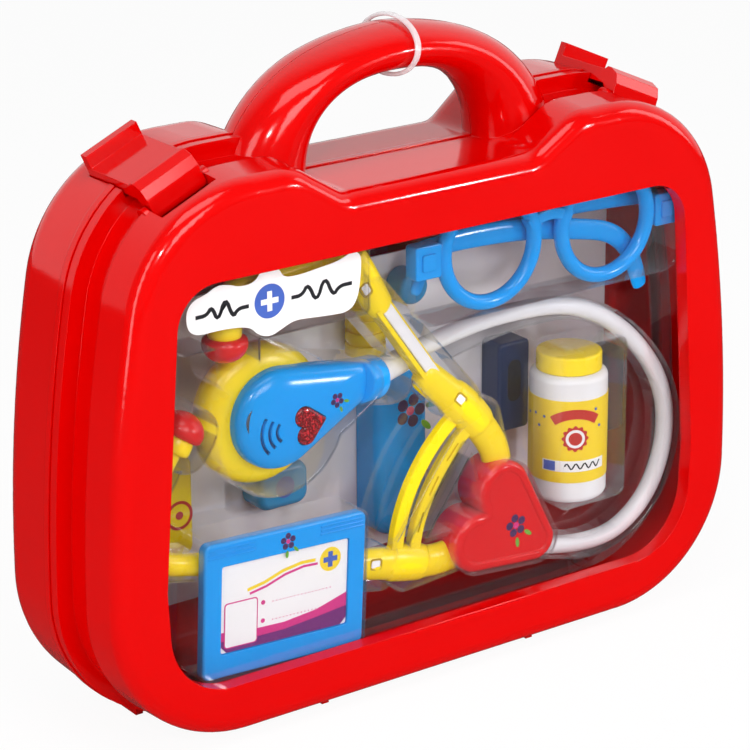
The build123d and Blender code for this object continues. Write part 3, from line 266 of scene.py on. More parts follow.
# pale patches of the backing card: place on the noise, colour
cardPatches = [(0.30, (0.62, 0.54, 0.62)), (0.42, (0.86, 0.82, 0.87)), (0.58, (0.96, 0.95, 0.97)),
               (0.72, (0.88, 0.89, 0.96))]


def newMaterial(name):
    material = bpy.data.materials.get(name) or bpy.data.materials.new(name)
    material.use_nodes = True
    tree = material.node_tree
    tree.nodes.clear()
    return material, tree, linker(tree)


def mouldedFinish(name, look):
    material, tree, link = newMaterial(name)
    out = addNode(tree, "ShaderNodeOutputMaterial")
    shader = addNode(tree, "ShaderNodeBsdfPrincipled")
    place = addNode(tree, "ShaderNodeTexCoord")
    flow = addNode(tree, "ShaderNodeTexNoise", {"Scale": look["flow"], "Detail": 3})
    grain = addNode(tree, "ShaderNodeTexNoise", {"Scale": look["grain"], "Detail": 2})
    colour = addNode(tree, "ShaderNodeMix", {"A": (*look["shade"], 1), "B": (*look["colour"], 1)},
                     data_type="RGBA")
    rough = addNode(tree, "ShaderNodeMapRange", {"To Min": look["rough"][0], "To Max": look["rough"][1]})
    edge = addNode(tree, "ShaderNodeBevel", {"Radius": look["edge"] * mm}, samples=6)
    bump = addNode(tree, "ShaderNodeBump", {"Strength": look["bump"], "Distance": grainDepth})
    shader.inputs["Metallic"].default_value = look["metal"]
    shader.inputs["Specular IOR Level"].default_value = look["shine"]
    link(place, "Object", flow, "Vector")
    link(place, "Object", grain, "Vector")
    mixed = addNode(tree, "ShaderNodeMapRange", {"From Min": look["sharp"][0], "From Max": look["sharp"][1]})
    link(flow, "Fac", mixed, "Value")
    link(mixed, "Result", colour, "Factor")
    link(colour, "Result", shader, "Base Color")
    link(flow, "Fac", rough, "Value")
    link(rough, "Result", shader, "Roughness")
    link(grain, "Fac", bump, "Height")
    link(edge, "Normal", bump, "Normal")
    link(bump, "Normal", shader, "Normal")
    link(shader, 0, out, "Surface")
    return material


def clearFinish(name, look):
    # see-through sheet: more gloss and more milk where it is seen edge on
    material, tree, link = newMaterial(name)
    out = addNode(tree, "ShaderNodeOutputMaterial")
    through = addNode(tree, "ShaderNodeBsdfTransparent", {"Color": (*look["tint"], 1)})
    milk = addNode(tree, "ShaderNodeBsdfDiffuse", {"Color": (*sheetMilk, 1)})
    shine = addNode(tree, "ShaderNodeBsdfGlossy", {"Color": (1, 1, 1, 1), "Roughness": look["rough"]})
    place = addNode(tree, "ShaderNodeTexCoord")
    ripple = addNode(tree, "ShaderNodeTexNoise", {"Scale": look["rippleScale"], "Detail": 2})
    bump = addNode(tree, "ShaderNodeBump", {"Strength": look["ripple"], "Distance": rippleDepth})
    weight = addNode(tree, "ShaderNodeLayerWeight", {"Blend": 0.5})
    link(place, "Object", ripple, "Vector")
    link(ripple, "Fac", bump, "Height")
    link(bump, "Normal", shine, "Normal")
    shares = []
    for power, low, high in ((3.0, look["haze"], look["haze"] + look["edgeHaze"]),
                             (5.0, look["gloss"], edgeGloss)):
        curve = addNode(tree, "ShaderNodeMath", {1: power}, operation="POWER")
        spread = addNode(tree, "ShaderNodeMapRange", {"To Min": low, "To Max": high})
        link(weight, "Facing", curve, 0)
        link(curve, 0, spread, "Value")
        shares.append(spread)
    body = addNode(tree, "ShaderNodeMixShader")
    coat = addNode(tree, "ShaderNodeMixShader")
    link(shares[0], "Result", body, "Fac")
    link(through, 0, body, 1)
    link(milk, 0, body, 2)
    link(shares[1], "Result", coat, "Fac")
    link(body, 0, coat, 1)
    link(shine, 0, coat, 2)
    link(coat, 0, out, "Surface")
    return material


def cardFinish(name):
    material, tree, link = newMaterial(name)
    out = addNode(tree, "ShaderNodeOutputMaterial")
    shader = addNode(tree, "ShaderNodeBsdfPrincipled", {"Roughness": 0.35})
    place = addNode(tree, "ShaderNodeTexCoord")
    patches = addNode(tree, "ShaderNodeTexNoise", {"Scale": 26, "Detail": 1})
    ramp = addNode(tree, "ShaderNodeValToRGB")
    stops = ramp.color_ramp.elements
    for stop, (at, colour) in zip(stops, (cardPatches[0], cardPatches[-1])):
        stop.position = at
        stop.color = (*colour, 1)
    for at, colour in cardPatches[1:-1]:
        stops.new(at).color = (*colour, 1)
    link(place, "Object", patches, "Vector")
    link(patches, "Fac", ramp, "Fac")
    link(ramp, "Color", shader, "Base Color")
    link(shader, 0, out, "Surface")
    return material


finish = {name: mouldedFinish(name, {**plain, **look}) for name, look in finishes.items()}
finish["clear_sheet"] = clearFinish("clear_sheet", clearSheet)
finish["tie_clear"] = clearFinish("tie_clear", tieClear)
finish["print_card"] = cardFinish("print_card")
print("finishes made:", len(finish))


# making and finishing pieces
def pick(piece):
    bpy.ops.object.select_all(action="DESELECT")
    piece.select_set(True)
    bpy.context.view_layer.objects.active = piece


def addPiece(piece, name, material, body, replaced=(), smooth=35):
    piece.name = name
    piece.data.name = name
    pick(piece)
    bpy.ops.object.transform_apply(location=True, rotation=True, scale=True)
    if smooth:
        bpy.ops.object.shade_smooth_by_angle(angle=math.radians(smooth))
    piece.data.materials.clear()
    piece.data.materials.append(finish[material])
    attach(piece, body)
    if replaced:
        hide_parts(*replaced)


def editMode(piece, action="SELECT"):
    pick(piece)
    bpy.ops.object.mode_set(mode="EDIT")
    bpy.ops.mesh.select_mode(type="FACE")
    bpy.ops.mesh.select_all(action=action)


def objectMode():
    bpy.ops.object.mode_set(mode="OBJECT")


def pullOut(rise):
    bpy.ops.mesh.extrude_region_move(TRANSFORM_OT_translate={"value": (0, -rise * mm, 0)})


def drawIn(inset, even=True):
    bpy.ops.mesh.inset(thickness=inset * mm, depth=0, use_even_offset=even)


def moveOut(rise):
    bpy.ops.transform.translate(value=(0, -rise * mm, 0))


def roundEdge(edge, count):
    # quarter-round in that many steps, from the wall to the chosen face
    done, height = 0.0, 0.0
    for step in range(1, count + 1):
        lean = math.radians(90 / count * step)
        inset, up = edge * (1 - math.cos(lean)), edge * math.sin(lean)
        pullOut(up - height)
        drawIn(inset - done)
        done, height = inset, up


def closeAndTurnOut(piece, gap=0.005):
    # merges points nearer than the gap, in mm, and turns the faces outwards
    editMode(piece)
    bpy.ops.mesh.remove_doubles(threshold=gap * mm)
    bpy.ops.mesh.normals_make_consistent(inside=False)
    objectMode()


def plateFrom(outline, depth):
    bpy.ops.object.select_all(action="DESELECT")
    bpy.ops.mesh.primitive_circle_add(vertices=len(outline), radius=0.01, fill_type="NGON")
    plate = bpy.context.object
    for vertex, (x, z) in zip(plate.data.vertices, outline):
        vertex.co = spot(x, depth, z)
    plate.data.update()
    if plate.data.polygons[0].normal.y > 0:
        editMode(plate)
        bpy.ops.mesh.flip_normals()
        objectMode()
    return plate


def raisePlate(plate, thick):
    editMode(plate)
    pullOut(thick)
    objectMode()


def applyModifier(piece, kind, **settings):
    pick(piece)
    modifier = piece.modifiers.new(kind.lower(), kind)
    for key, value in settings.items():
        setattr(modifier, key, value)
    bpy.ops.object.modifier_apply(modifier=modifier.name)


def arcPoints(middle, radius, start, end, count):
    return [(middle[0] + radius * math.cos(a), middle[1] + radius * math.sin(a))
            for a in np.linspace(math.radians(start), math.radians(end), count)]


def roundedBox(middle, size, radius, turn=0.0, count=6):
    half = (size[0] / 2 - radius, size[1] / 2 - radius)
    points = []
    for step, (sx, sz) in enumerate(((1, 1), (-1, 1), (-1, -1), (1, -1))):
        points += arcPoints((sx * half[0], sz * half[1]), radius, 90 * step, 90 * step + 90, count)
    c, s = math.cos(math.radians(turn)), math.sin(math.radians(turn))
    return [(middle[0] + c * x - s * z, middle[1] + s * x + c * z) for x, z in points]


def hullOutline(big, small, count=48):
    # outline round two circles, the larger first
    (bx, bz, br), (sx, sz, sr) = big, small
    along = math.degrees(math.atan2(sz - bz, sx - bx))
    lean = math.degrees(math.acos((br - sr) / math.hypot(sx - bx, sz - bz)))
    return (arcPoints((bx, bz), br, along + lean, along + 360 - lean, count)
            + arcPoints((sx, sz), sr, along - lean, along + lean, count // 2))


def heartOutline(notch, turn, lobe, lobeR, tip, tipR, count=22):
    lx, ly = lobe
    across = math.hypot(tip - lx, ly)
    toTip = math.atan2(-ly, tip - lx)
    normal = math.degrees(toTip + math.acos((lobeR - tipR) / across))
    back = lx - math.sqrt(max(lobeR * lobeR - ly * ly, 0))
    atNotch = math.degrees(math.atan2(-ly, back - lx)) % 360
    upper = arcPoints((lx, ly), lobeR, normal, atNotch, count)
    tipArc = arcPoints((tip, 0), tipR, -normal, normal, 9)
    lower = [(x, -y) for x, y in reversed(upper)]
    c, s = math.cos(math.radians(turn)), math.sin(math.radians(turn))
    return [(notch[0] + c * x - s * y, notch[1] + s * x + c * y)
            for x, y in tipArc[:-1] + upper[:-1] + lower[:-1]]


def decal(name, outline, depth, thick, material):
    plate = plateFrom(outline, depth - thick)
    raisePlate(plate, thick)
    closeAndTurnOut(plate)
    addPiece(plate, name, material, rear, smooth=30)


def strip(points, half):
    points = [Vector(p) for p in points]
    left, right = [], []
    for i, p in enumerate(points):
        along = (points[min(i + 1, len(points) - 1)] - points[max(i - 1, 0)]).normalized()
        side = Vector((-along.y, along.x)) * half
        left.append(tuple(p + side))
        right.append(tuple(p - side))
    return left + right[::-1]


# clear blister tray over the toys
tray = {"flange": 0.2, "flangeThick": 0.6, "pan": 12.6, "toyFace": 30.0, "armFace": 25.5, "tubeFace": 23.4,
        "root": 6.0, "room": 0.9, "round": 1.5, "roundSteps": 4, "sheet": 0.5,
        # inset of the flange and of the pan from the case's sides, bottom and saddle
        "outer": (9.6, 7.2, 3.4), "inner": (13.6, 11.2, 7.4)}
# (X, depth, Z) places of the hose, from the hub to the chest piece
tubeRoute = [(57.5, 19, 33.4), (85, 19, 26), (110, 19, 37), (121.5, 19, 62), (118.5, 19, 88), (99, 19, 113),
             (73, 19, 128.6), (45, 15.8, 129.6), (19, 12.6, 125.7), (-5, 12.6, 119.9)]


def roundOff(points, times, closed=True):
    # cuts the corners of a run again and again, to a smooth curve
    points = [Vector(p) for p in points]
    for _ in range(times):
        pairs = list(zip(points, points[1:] + points[:1] if closed else points[1:]))
        fine = [share for here, there in pairs
                for share in (here * 0.75 + there * 0.25, here * 0.25 + there * 0.75)]
        points = fine if closed else [points[0]] + fine + [points[-1]]
    return [tuple(p) for p in points]


def capsule(start, end, half):
    return hullOutline((*start, half), (*end, half), count=18)


def runCapsules(run, half):
    return [capsule(here, there, half) for here, there in zip(run, run[1:])]


def arcBetween(start, end, along, count=14):
    # arc that leaves start along that direction and ends at end
    start, end, along = Vector(start), Vector(end), Vector(along).normalized()
    normal = Vector((-along.y, along.x))
    chord = end - start
    radius = chord.length_squared / (2 * chord.dot(normal))
    middle = start + normal * radius
    first = math.atan2(start.y - middle.y, start.x - middle.x)
    last = math.atan2(end.y - middle.y, end.x - middle.x)
    if last < first:
        last += 2 * math.pi
    points = arcPoints(middle, radius, math.degrees(first), math.degrees(last), count)
    return points, Matrix.Rotation(last - first, 2) @ along


# lowest Z, top of the round lower corners, widest X, then (X, Z) places up to the handle's saddle
case = {"low": 2, "corner": 57, "widest": 144.3, "hip": (134.2, 167), "top": (80, 212.2),
        "shoulder": [(68, 212), (62, 210.4)], "saddle": [(46, 197.5), (38, 194.5)]}


def caseOutline(inset, under, saddle):
    # the case's outline, inset on its sides, bottom and saddle
    base = case["low"] + under
    corner = case["corner"] - base
    widest = case["widest"] - inset
    hipX, hipZ = case["hip"]
    lean = math.atan2(2 * (case["widest"] - hipX), hipZ - case["corner"])
    hip = (hipX - inset * math.cos(lean), hipZ - inset * math.sin(lean))
    low, going = arcBetween((widest - corner, base), (widest, case["corner"]), (1, 0))
    side, going = arcBetween((widest, case["corner"]), hip, (0, 1))
    top, going = arcBetween(hip, (case["top"][0], case["top"][1] - inset), going)
    right = low + side[1:] + top[1:]
    right += [(x, z - inset) for x, z in case["shoulder"]] + [(x, z - saddle) for x, z in case["saddle"]]
    return right + [(-x, z) for x, z in reversed(right)]


def pocket(outline, face, root):
    # one raised form: straight wall, then a rounded edge to its flat face
    form = plateFrom(outline, root)
    editMode(form)
    pullOut(face - root - tray["round"])
    roundEdge(tray["round"], tray["roundSteps"])
    objectMode()
    closeAndTurnOut(form)
    return form


def trayForms():
    grow = tray["room"]
    toyForms = [
        arcPoints((-66, 114), 26 + grow, 0, 356, 90),
        hullOutline((-62, 116, 20 + grow), (-31, 120.6, 8.0 + grow)),
        heartOutline((27, 56), -33.7, (1.5, 10.9), 11.6 + grow, 27.2, 8.6 + grow, 26),
        capsule((-83.6, 153), (-83.6, 138), 8.3 + grow),
        capsule((-104.6, 113.6), (-101.4, 118.4), 8.3 + grow),
        roundedBox((-65.6, 48.4), (69 + 2 * grow, 51.5 + 2 * grow), 3 + grow, -2.6),
        roundedBox((75.5, 82.2), (30 + 2 * grow, 63 + 2 * grow), 3.5),
        roundedBox((54.5, 160.6), (124 + 2 * grow, 46.6 + 2 * grow), 9),
        roundedBox((-68, 160), (80, 26), 3),
    ]
    armForms = [
        capsule((16.5, 102.6), (-24, 150.4), 7.5 + grow),
        capsule((-20.4, 45.4), (-76, 57.2), 7.5 + grow),
        capsule((25.4, 94), (33, 66), 8 + grow),
        capsule((-9, 42.7), (20, 45), 8 + grow),
        capsule((-31, 120.6), (-14, 117.6), 8 + grow),
        *runCapsules([(-28.2, 155.3), (-38, 167), (-83.6, 165), (-83.6, 153)], 4 + grow),
        *runCapsules([(-82, 60.6), (-97, 66.2), (-112, 69.5), (-119.5, 78), (-118.5, 92), (-106.4, 111)],
                     4.4 + grow),
        *runCapsules([(25.4, 94), (14.6, 88.6), (-11.4, 53), (-9, 42.7)], 2.7 + grow),
        *runCapsules([(20.6, 84.6), (-2.6, 52.4)], 1.7 + grow),
    ]
    line = roundOff([(x, z) for x, depth, z in tubeRoute], 2, closed=False)
    return ([(form, tray["toyFace"]) for form in toyForms] + [(form, tray["armFace"]) for form in armForms]
            + [(strip(line, 3.5 + grow), tray["tubeFace"])])


def addTray():
    sheet = plateFrom(caseOutline(*tray["outer"]), -tray["flange"] - tray["flangeThick"])
    raisePlate(sheet, tray["flangeThick"])
    closeAndTurnOut(sheet)
    forms = [pocket(caseOutline(*tray["inner"]), tray["pan"], -tray["flange"] - tray["flangeThick"])]
    forms += [pocket(form, face, tray["root"]) for form, face in trayForms()]
    # joined in one step: one after the other, a rib is lost in some runs
    joined = bpy.data.collections.new("tray_forms")
    for form in forms:
        joined.objects.link(form)
    applyModifier(sheet, "BOOLEAN", operand_type="COLLECTION", collection=joined, operation="UNION",
                  solver="EXACT")
    for form in forms:
        bpy.data.objects.remove(form)
    bpy.data.collections.remove(joined)
    back = (tray["flange"] + tray["flangeThick"]) * mm
    editMode(sheet, "DESELECT")
    objectMode()
    for face in sheet.data.polygons:
        face.select = face.normal.y > 0.9 and abs(face.center.y - back) < 0.05 * mm
    bpy.ops.object.mode_set(mode="EDIT")
    bpy.ops.mesh.delete(type="FACE")
    objectMode()
    applyModifier(sheet, "SOLIDIFY", thickness=tray["sheet"] * mm, offset=-1.0)
    applyModifier(sheet, "WEIGHTED_NORMAL", keep_sharp=True, weight=80)
    addPiece(sheet, "blister_tray", "clear_sheet", rear, ["tray"], smooth=0)
    print("tray faces", len(sheet.data.polygons))


addTray()
print("tray formed")

# stethoscope tube, one soft hose from the hub to the chest piece
hose = {"diameter": 7.0}


def addTube():
    line = bpy.data.curves.new("stethoscope_tube", "CURVE")
    line.dimensions = "3D"
    spline = line.splines.new("NURBS")
    spline.points.add(len(tubeRoute) - 1)
    for point, (x, depth, z) in zip(spline.points, tubeRoute):
        point.co = (*spot(x, depth, z), 1)
    spline.order_u = 3
    spline.use_endpoint_u = True
    spline.resolution_u = 16
    line.bevel_depth = hose["diameter"] / 2 * mm
    line.bevel_resolution = 10
    line.use_fill_caps = True
    line.materials.append(finish["white_soft"])
    tube = bpy.data.objects.new("white_tube", line)
    bpy.context.scene.collection.objects.link(tube)
    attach(tube, rear)
    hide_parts("stethoscope_tube")


addTube()
print("stethoscope tube laid")

# chest piece
chest = {"bowl": (-66, 114, 26.0), "big": (-63, 113.5, 18.6), "small": (-30, 120.0, 7.6),
         "back": 18.2, "edge": 20.6, "face": 28.0,
         "rings": 11, "squareness": 3.0, "domeMiddle": (-56, 0, 115),
         # grille grooves: radius, half of the arc in degrees, depth below the dome's top
         "grille": (-62.5, 110.6), "grilleTurn": 186,
         "grooves": [(4.6, 46, 1.2), (7.6, 42, 1.7), (10.6, 40, 2.6)],
         "collar": ((-29, 22.0, 120.0), (-19.5, 18.4, 118.4)), "collarR": 8.3,
         "neck": ((-20.5, 18.8, 118.6), (-3.0, 13.4, 119.9)), "neckR": 4.6,
         # notch, turn, lobe middles, lobe radius, tip, tip radius
         "buttonShape": ((-56.2, 110.4), 8, (1.0, 3.5), 3.7, 8.8, 0.8), "buttonMiddle": (-52.4, 0, 109.9),
         "wellShape": ((-56.35, 110.4), 8, (1.1, 3.6), 3.95, 9.1, 0.95), "well": 3.5}


def addBowl():
    # spun from its section: (radius, depth)
    x0, z0, r = chest["bowl"]
    section = [(0, 6.0), (r - 6, 6.0), (r - 2.4, 7.6), (r - 0.5, 10.4), (r, 13.5), (r - 0.5, 15.8),
               (r - 2.0, 17.6), (r - 4.4, 18.9), (r - 7.5, 19.6), (r - 12, 19.8), (0, 19.8)]
    bpy.ops.object.select_all(action="DESELECT")
    bpy.ops.mesh.primitive_plane_add(size=mm)
    bowl = bpy.context.object
    editMode(bowl)
    bpy.ops.mesh.delete(type="VERT")
    objectMode()
    bowl.data.from_pydata([spot(x0 + radius, depth, z0) for radius, depth in section],
                          [(i, i + 1) for i in range(len(section) - 1)], [])
    editMode(bowl)
    bpy.ops.mesh.select_mode(type="VERT")
    bpy.ops.mesh.select_all(action="SELECT")
    bpy.ops.mesh.spin(steps=96, angle=2 * math.pi, center=spot(x0, 0, z0), axis=(0, 1, 0))
    objectMode()
    closeAndTurnOut(bowl)
    addPiece(bowl, "chest_bowl", "yellow_plastic", rear, ["chest_base"])


def domePlate(plate, steps, middle):
    # steps: the outline's share of its first size, and how far this ring is ahead of the last
    editMode(plate)
    before = 1.0
    for share, rise in steps:
        pullOut(rise)
        bpy.ops.transform.resize(value=(share / before, 1, share / before), center_override=spot(*middle))
        before = share
    objectMode()


def roundSteps(rise, rings, squareness):
    steps, height = [], 0.0
    for step in range(1, rings + 1):
        lean = math.radians(90 * step / (rings + 0.5))
        up = rise * math.sin(lean) ** (2 / squareness)
        steps.append((math.cos(lean) ** (2 / squareness), up - height))
        height = up
    return steps


def cut(piece, cutter):
    closeAndTurnOut(cutter)
    applyModifier(piece, "BOOLEAN", object=cutter, operation="DIFFERENCE", solver="EXACT")
    bpy.data.objects.remove(cutter)


def grilleArc(reach, spread):
    middle = chest["grilleTurn"]
    return arcPoints(chest["grille"], reach, middle - spread, middle + spread, 14)


def rod(ends, radius, sides):
    start, end = spot(*ends[0]), spot(*ends[1])
    aimed = (end - start).to_track_quat("Z", "Y").to_euler()
    bpy.ops.object.select_all(action="DESELECT")
    bpy.ops.mesh.primitive_cylinder_add(vertices=sides, radius=radius * mm, depth=(end - start).length,
                                        location=(start + end) / 2, rotation=aimed, end_fill_type="NGON")
    return bpy.context.object


def addHousing():
    housing = plateFrom(hullOutline(chest["big"], chest["small"]), chest["back"])
    domePlate(housing, [(1.0, chest["edge"] - chest["back"])]
              + roundSteps(chest["face"] - chest["edge"], chest["rings"], chest["squareness"]),
              chest["domeMiddle"])
    closeAndTurnOut(housing)
    for reach, spread, deep in chest["grooves"]:
        groove = plateFrom(strip(grilleArc(reach, spread), 0.62), chest["face"] - deep)
        raisePlate(groove, 4)
        cut(housing, groove)
    well = plateFrom(heartOutline(*chest["wellShape"]), chest["face"] - chest["well"])
    raisePlate(well, 6)
    cut(housing, well)
    addPiece(housing, "chest_housing_dome", "blue_plastic", rear, ["chest_housing"], smooth=40)


def addCollar():
    # round collar that the white neck comes out of
    collar = rod(chest["collar"], chest["collarR"], 64)
    editMode(collar, "DESELECT")
    objectMode()
    caps = sorted(collar.data.polygons, key=lambda face: -len(face.vertices))[:2]
    for cap in caps:
        cap.select = True
    bpy.ops.object.mode_set(mode="EDIT")
    bpy.ops.mesh.inset(thickness=1.2 * mm, depth=0)
    objectMode()
    applyModifier(collar, "BEVEL", width=1.1 * mm, segments=4, limit_method="ANGLE")
    addPiece(collar, "chest_collar", "blue_plastic", rear)


def addNeck():
    neck = rod(chest["neck"], chest["neckR"], 48)
    applyModifier(neck, "BEVEL", width=0.8 * mm, segments=3, limit_method="ANGLE")
    addPiece(neck, "hose_neck", "white_soft", rear, ["tube_neck"])


def addHeartButton():
    button = plateFrom(heartOutline(*chest["buttonShape"]), chest["face"] - 4)
    domePlate(button, [(1.0, 3.9)] + roundSteps(1.3, 6, 2.4), chest["buttonMiddle"])
    closeAndTurnOut(button)
    addPiece(button, "heart_push", "heart_red", "heart_button", ["heart_button"], smooth=50)


addBowl()
addHousing()
addCollar()
addHeartButton()
addNeck()
print("chest piece made")

# red heart hub
# shape is the notch, turn, lobe middles, lobe radius, tip and tip radius
hub = {"shape": ((27, 56), -33.7, (1.5, 10.9), 11.6, 27.2, 8.6), "back": 14.0, "side": 26.6, "edge": 2.6,
       "edgeSteps": 6, "recess": 0.9}


def addHub():
    shell = plateFrom(heartOutline(*hub["shape"], 30), hub["back"])
    editMode(shell)
    pullOut(hub["side"] - hub["back"])
    done, height = 0.0, 0.0
    for step in range(1, hub["edgeSteps"] + 1):
        lean = math.radians(90 * step / hub["edgeSteps"])
        inset, up = hub["edge"] * (1 - math.cos(lean)), hub["edge"] * math.sin(lean)
        drawIn(max(inset - done, 0.02), even=False)
        moveOut(up - height)
        done, height = inset, up
    # flat rim, then a small step down to the field
    for inset, down in ((0.9, 0.0), (0.25, 0.2), (0.3, 0.7), (0.4, 0.0)):
        drawIn(inset, even=False)
        moveOut(-down * hub["recess"])
    objectMode()
    closeAndTurnOut(shell)
    addPiece(shell, "heart_hub", "hub_red", rear, ["hub_front", "hub_back"], smooth=40)


addHub()
print("hub made")

# arms, sleeves and springs of the stethoscope
def tubeRun(name, stations, depth, flat, material, replaced=()):
    # a moulded tube through (X, Z, radius) stations, flattened in depth by that share
    curve = bpy.data.curves.new(name, "CURVE")
    curve.dimensions = "3D"
    spline = curve.splines.new("NURBS")
    spline.points.add(len(stations) - 1)
    for point, (x, z, radius) in zip(spline.points, stations):
        point.co = (*spot(x, 0, z), 1)
        point.radius = radius
    spline.order_u = 3
    spline.use_endpoint_u = True
    spline.resolution_u = 8
    curve.bevel_depth = mm
    curve.bevel_resolution = 7
    curve.use_fill_caps = True
    tube = bpy.data.objects.new(name, curve)
    bpy.context.scene.collection.objects.link(tube)
    pick(tube)
    bpy.ops.object.convert(target="MESH")
    tube = bpy.context.object
    editMode(tube)
    bpy.ops.transform.resize(value=(1, flat, 1), center_override=(0, 0, 0))
    moveOut(depth)
    objectMode()
    closeAndTurnOut(tube, 0.002)
    addPiece(tube, name, material, rear, replaced, smooth=45)


def rounded(run, cap=1.2):
    # closes both ends of a run of stations with a small rounding
    def end(here, there):
        x, z, r = here
        away = Vector((x - there[0], z - there[1])).normalized()
        return [(x + away.x * cap, z + away.y * cap, 0.55 * r),
                (x + away.x * cap * 0.85, z + away.y * cap * 0.85, 0.85 * r)]
    return end(run[0], run[1]) + list(run) + end(run[-1], run[-2])[::-1]


def slab(name, outline, back, face, edge, material, replaced=(), slots=()):
    # a flat moulded bar with softened front edges and slots cut through it
    plate = plateFrom(outline, back)
    editMode(plate)
    pullOut(face - back - edge)
    roundEdge(edge, 3)
    objectMode()
    closeAndTurnOut(plate)
    for shape in slots:
        cutter = plateFrom(shape, back - 1)
        raisePlate(cutter, face - back + 2)
        cut(plate, cutter)
    addPiece(plate, name, material, rear, replaced)


def bowed(start, first, second, end, count=15):
    # smooth run of places from start to end, pulled towards the two between
    run = []
    for t in np.linspace(0, 1, count):
        shares = ((1 - t) ** 3, 3 * t * (1 - t) ** 2, 3 * t * t * (1 - t), t ** 3)
        run.append(tuple(float(sum(share * place[axis]
                                   for share, place in zip(shares, (start, first, second, end))))
                         for axis in (0, 1)))
    return run


# (X, Z, radius) stations of the sleeves and yokes, (X, Z) places of the flat bars
arms = {
    "depth": 20.8, "sleeveFlat": 0.72, "lowerFlat": 0.70, "yokeFlat": 0.66,
    "upper": [(-29.5, 166, 5.4), (-26.5, 160.5, 5.9), (-20.5, 149.5, 5.9), (-17.6, 145.2, 5.4),
              (-16.8, 144.2, 4.2)],
    # sleeve, barrel and the bent tube into the hub
    "yokeUpper": [(0.8, 116.2, 5.8), (3.2, 114.0, 6.3), (12.6, 105.6, 6.4), (13.6, 104.8, 6.5),
                  (13.9, 104.5, 7.3), (19.5, 99.2, 7.6), (25.2, 92.8, 7.3), (27.3, 90.2, 7.0),
                  (27.5, 89.9, 6.2), (31.5, 84.5, 6.1), (35.0, 78.0, 6.1), (36.2, 69.0, 6.1)],
    "lower": [(-76, 57.2, 5.4), (-60, 53.9, 5.6), (-40, 50.2, 5.6), (-28, 48.0, 5.8), (-21, 46.6, 6.4)],
    "yokeLower": [(-24.5, 47.3, 6.2), (-14.6, 45.2, 6.4), (-13.9, 45.0, 7.2), (-8, 43.8, 7.4),
                  (-1.6, 42.3, 7.2), (0.6, 41.8, 6.9), (0.9, 41.7, 6.3), (8, 41.0, 6.3), (15, 41.6, 6.3),
                  (23, 44.6, 6.2)],
    # name: middle line, half width, back, face, softened edge
    "bars": {"arm_channel_upper": ([(-18.5, 146.5), (5.6, 112.5)], 3.7, 17.6, 22.6, 0.5),
             "arm_rail_lower": ([(-20.9, 144.9), (3.2, 110.9)], 0.95, 20, 24.4, 0.4),
             "arm_rail_upper": ([(-15.9, 148.4), (8.2, 114.4)], 0.55, 20, 23.6, 0.3)},
    "whiteRod": [(-18.3, 147.4), (6.2, 113.4)],
    "leafLeft": ((13.5, 95.5), (1.0, 86.0), (-10.0, 70.0), (-12.0, 50.5)),
    "leafRight": ((20.5, 90.5), (8.5, 80.5), (-2.0, 65.0), (-4.0, 48.5)),
    # which places of the right leaf its long openings lie between
    "openings": ((2, 4), (6, 8), (10, 12)),
    # name: middle, turn, face
    "pins": {"upper": ((15.4, 104.0), -45, 25.55), "ear": ((-26.4, 154.4), -60, 24.95),
             "lower": ((-22.8, 48.0), -8, 25.0)},
}


def addArms():
    depth, yellow = arms["depth"], "yellow_plastic"
    # upper arm: sleeve at the ear tube's end, then a channel with the white rod in it
    tubeRun("arm_sleeve_upper", rounded(arms["upper"]), depth, arms["sleeveFlat"], yellow, ["arm_upper"])
    for name, (line, half, back, face, edge) in arms["bars"].items():
        slab(name, strip(line, half), back, face, edge, yellow)
    slab("white_rod_upper", strip(arms["whiteRod"], 2.35), 19, 23.9, 0.7, "white_soft", ["slide_rods"])
    tubeRun("yoke_tube_upper", rounded(arms["yokeUpper"]), depth, arms["yokeFlat"], yellow, ["yoke_upper"])
    tubeRun("arm_sleeve_lower", rounded(arms["lower"]), depth, arms["lowerFlat"], yellow, ["arm_lower"])
    tubeRun("yoke_tube_lower", rounded(arms["yokeLower"]), depth, arms["yokeFlat"], yellow, ["yoke_lower"])
    # spring band: two long curved leaves side by side
    left, right = bowed(*arms["leafLeft"]), bowed(*arms["leafRight"])
    openings = [capsule(right[low], right[high], 0.35) for low, high in arms["openings"]]
    slab("spring_leaf_left", strip(left, 2.7), 20.2, 23.2, 0.6, yellow, ["spring_band"])
    slab("spring_leaf_right", strip(right, 2.4), 20.2, 23.4, 0.6, yellow, slots=openings)
    # white pins in their slots, each on a darker yellow plate: painted shade in the slot round the pin
    for name, ((x, z), turn, face) in arms["pins"].items():
        slab(f"pin_well_{name}", roundedBox((x, z), (5.4, 4.4), 1.3, turn), face - 1.2, face + 0.02, 0.2,
             "slot_shade_yellow")
        slab(f"pin_{name}", roundedBox((x - 0.3, z + 0.2), (4.0, 3.0), 0.8, turn), face - 1.0, face + 0.12,
             0.35, "white_soft", ["pivot_pins"] if name == "upper" else ())


addArms()
print("arms made")

# play glasses
glasses = {"lenses": {"left": (27, 160.6), "right": (81, 160.6)}, "ring": 20.6, "wire": 2.9, "depth": 26.4,
           "blocks": {"left": (-1.4, 160.4), "right": (110.4, 160.6)}, "block": (11.6, 12.6),
           "stud": (6.0, 6.4), "bridgeMiddle": (54, 150), "bridgeR": 18.6,
           # (X, Z, radius) stations of the folded temples
           "templeLeft": [(-3, 163.0, 3.4), (20, 164.2, 4.2), (48, 162.6, 4.2), (74, 157.6, 4.0),
                          (88, 154.2, 3.9), (97, 146.5, 3.8), (101.5, 136.5, 3.7), (103.0, 131.5, 3.4)],
           "templeRight": [(111, 163.5, 3.2), (84, 165.8, 3.6), (50, 166.4, 3.4), (22, 165.4, 3.2),
                           (8, 160.0, 3.0), (2.5, 152.5, 2.9), (0.5, 147.5, 2.7)]}


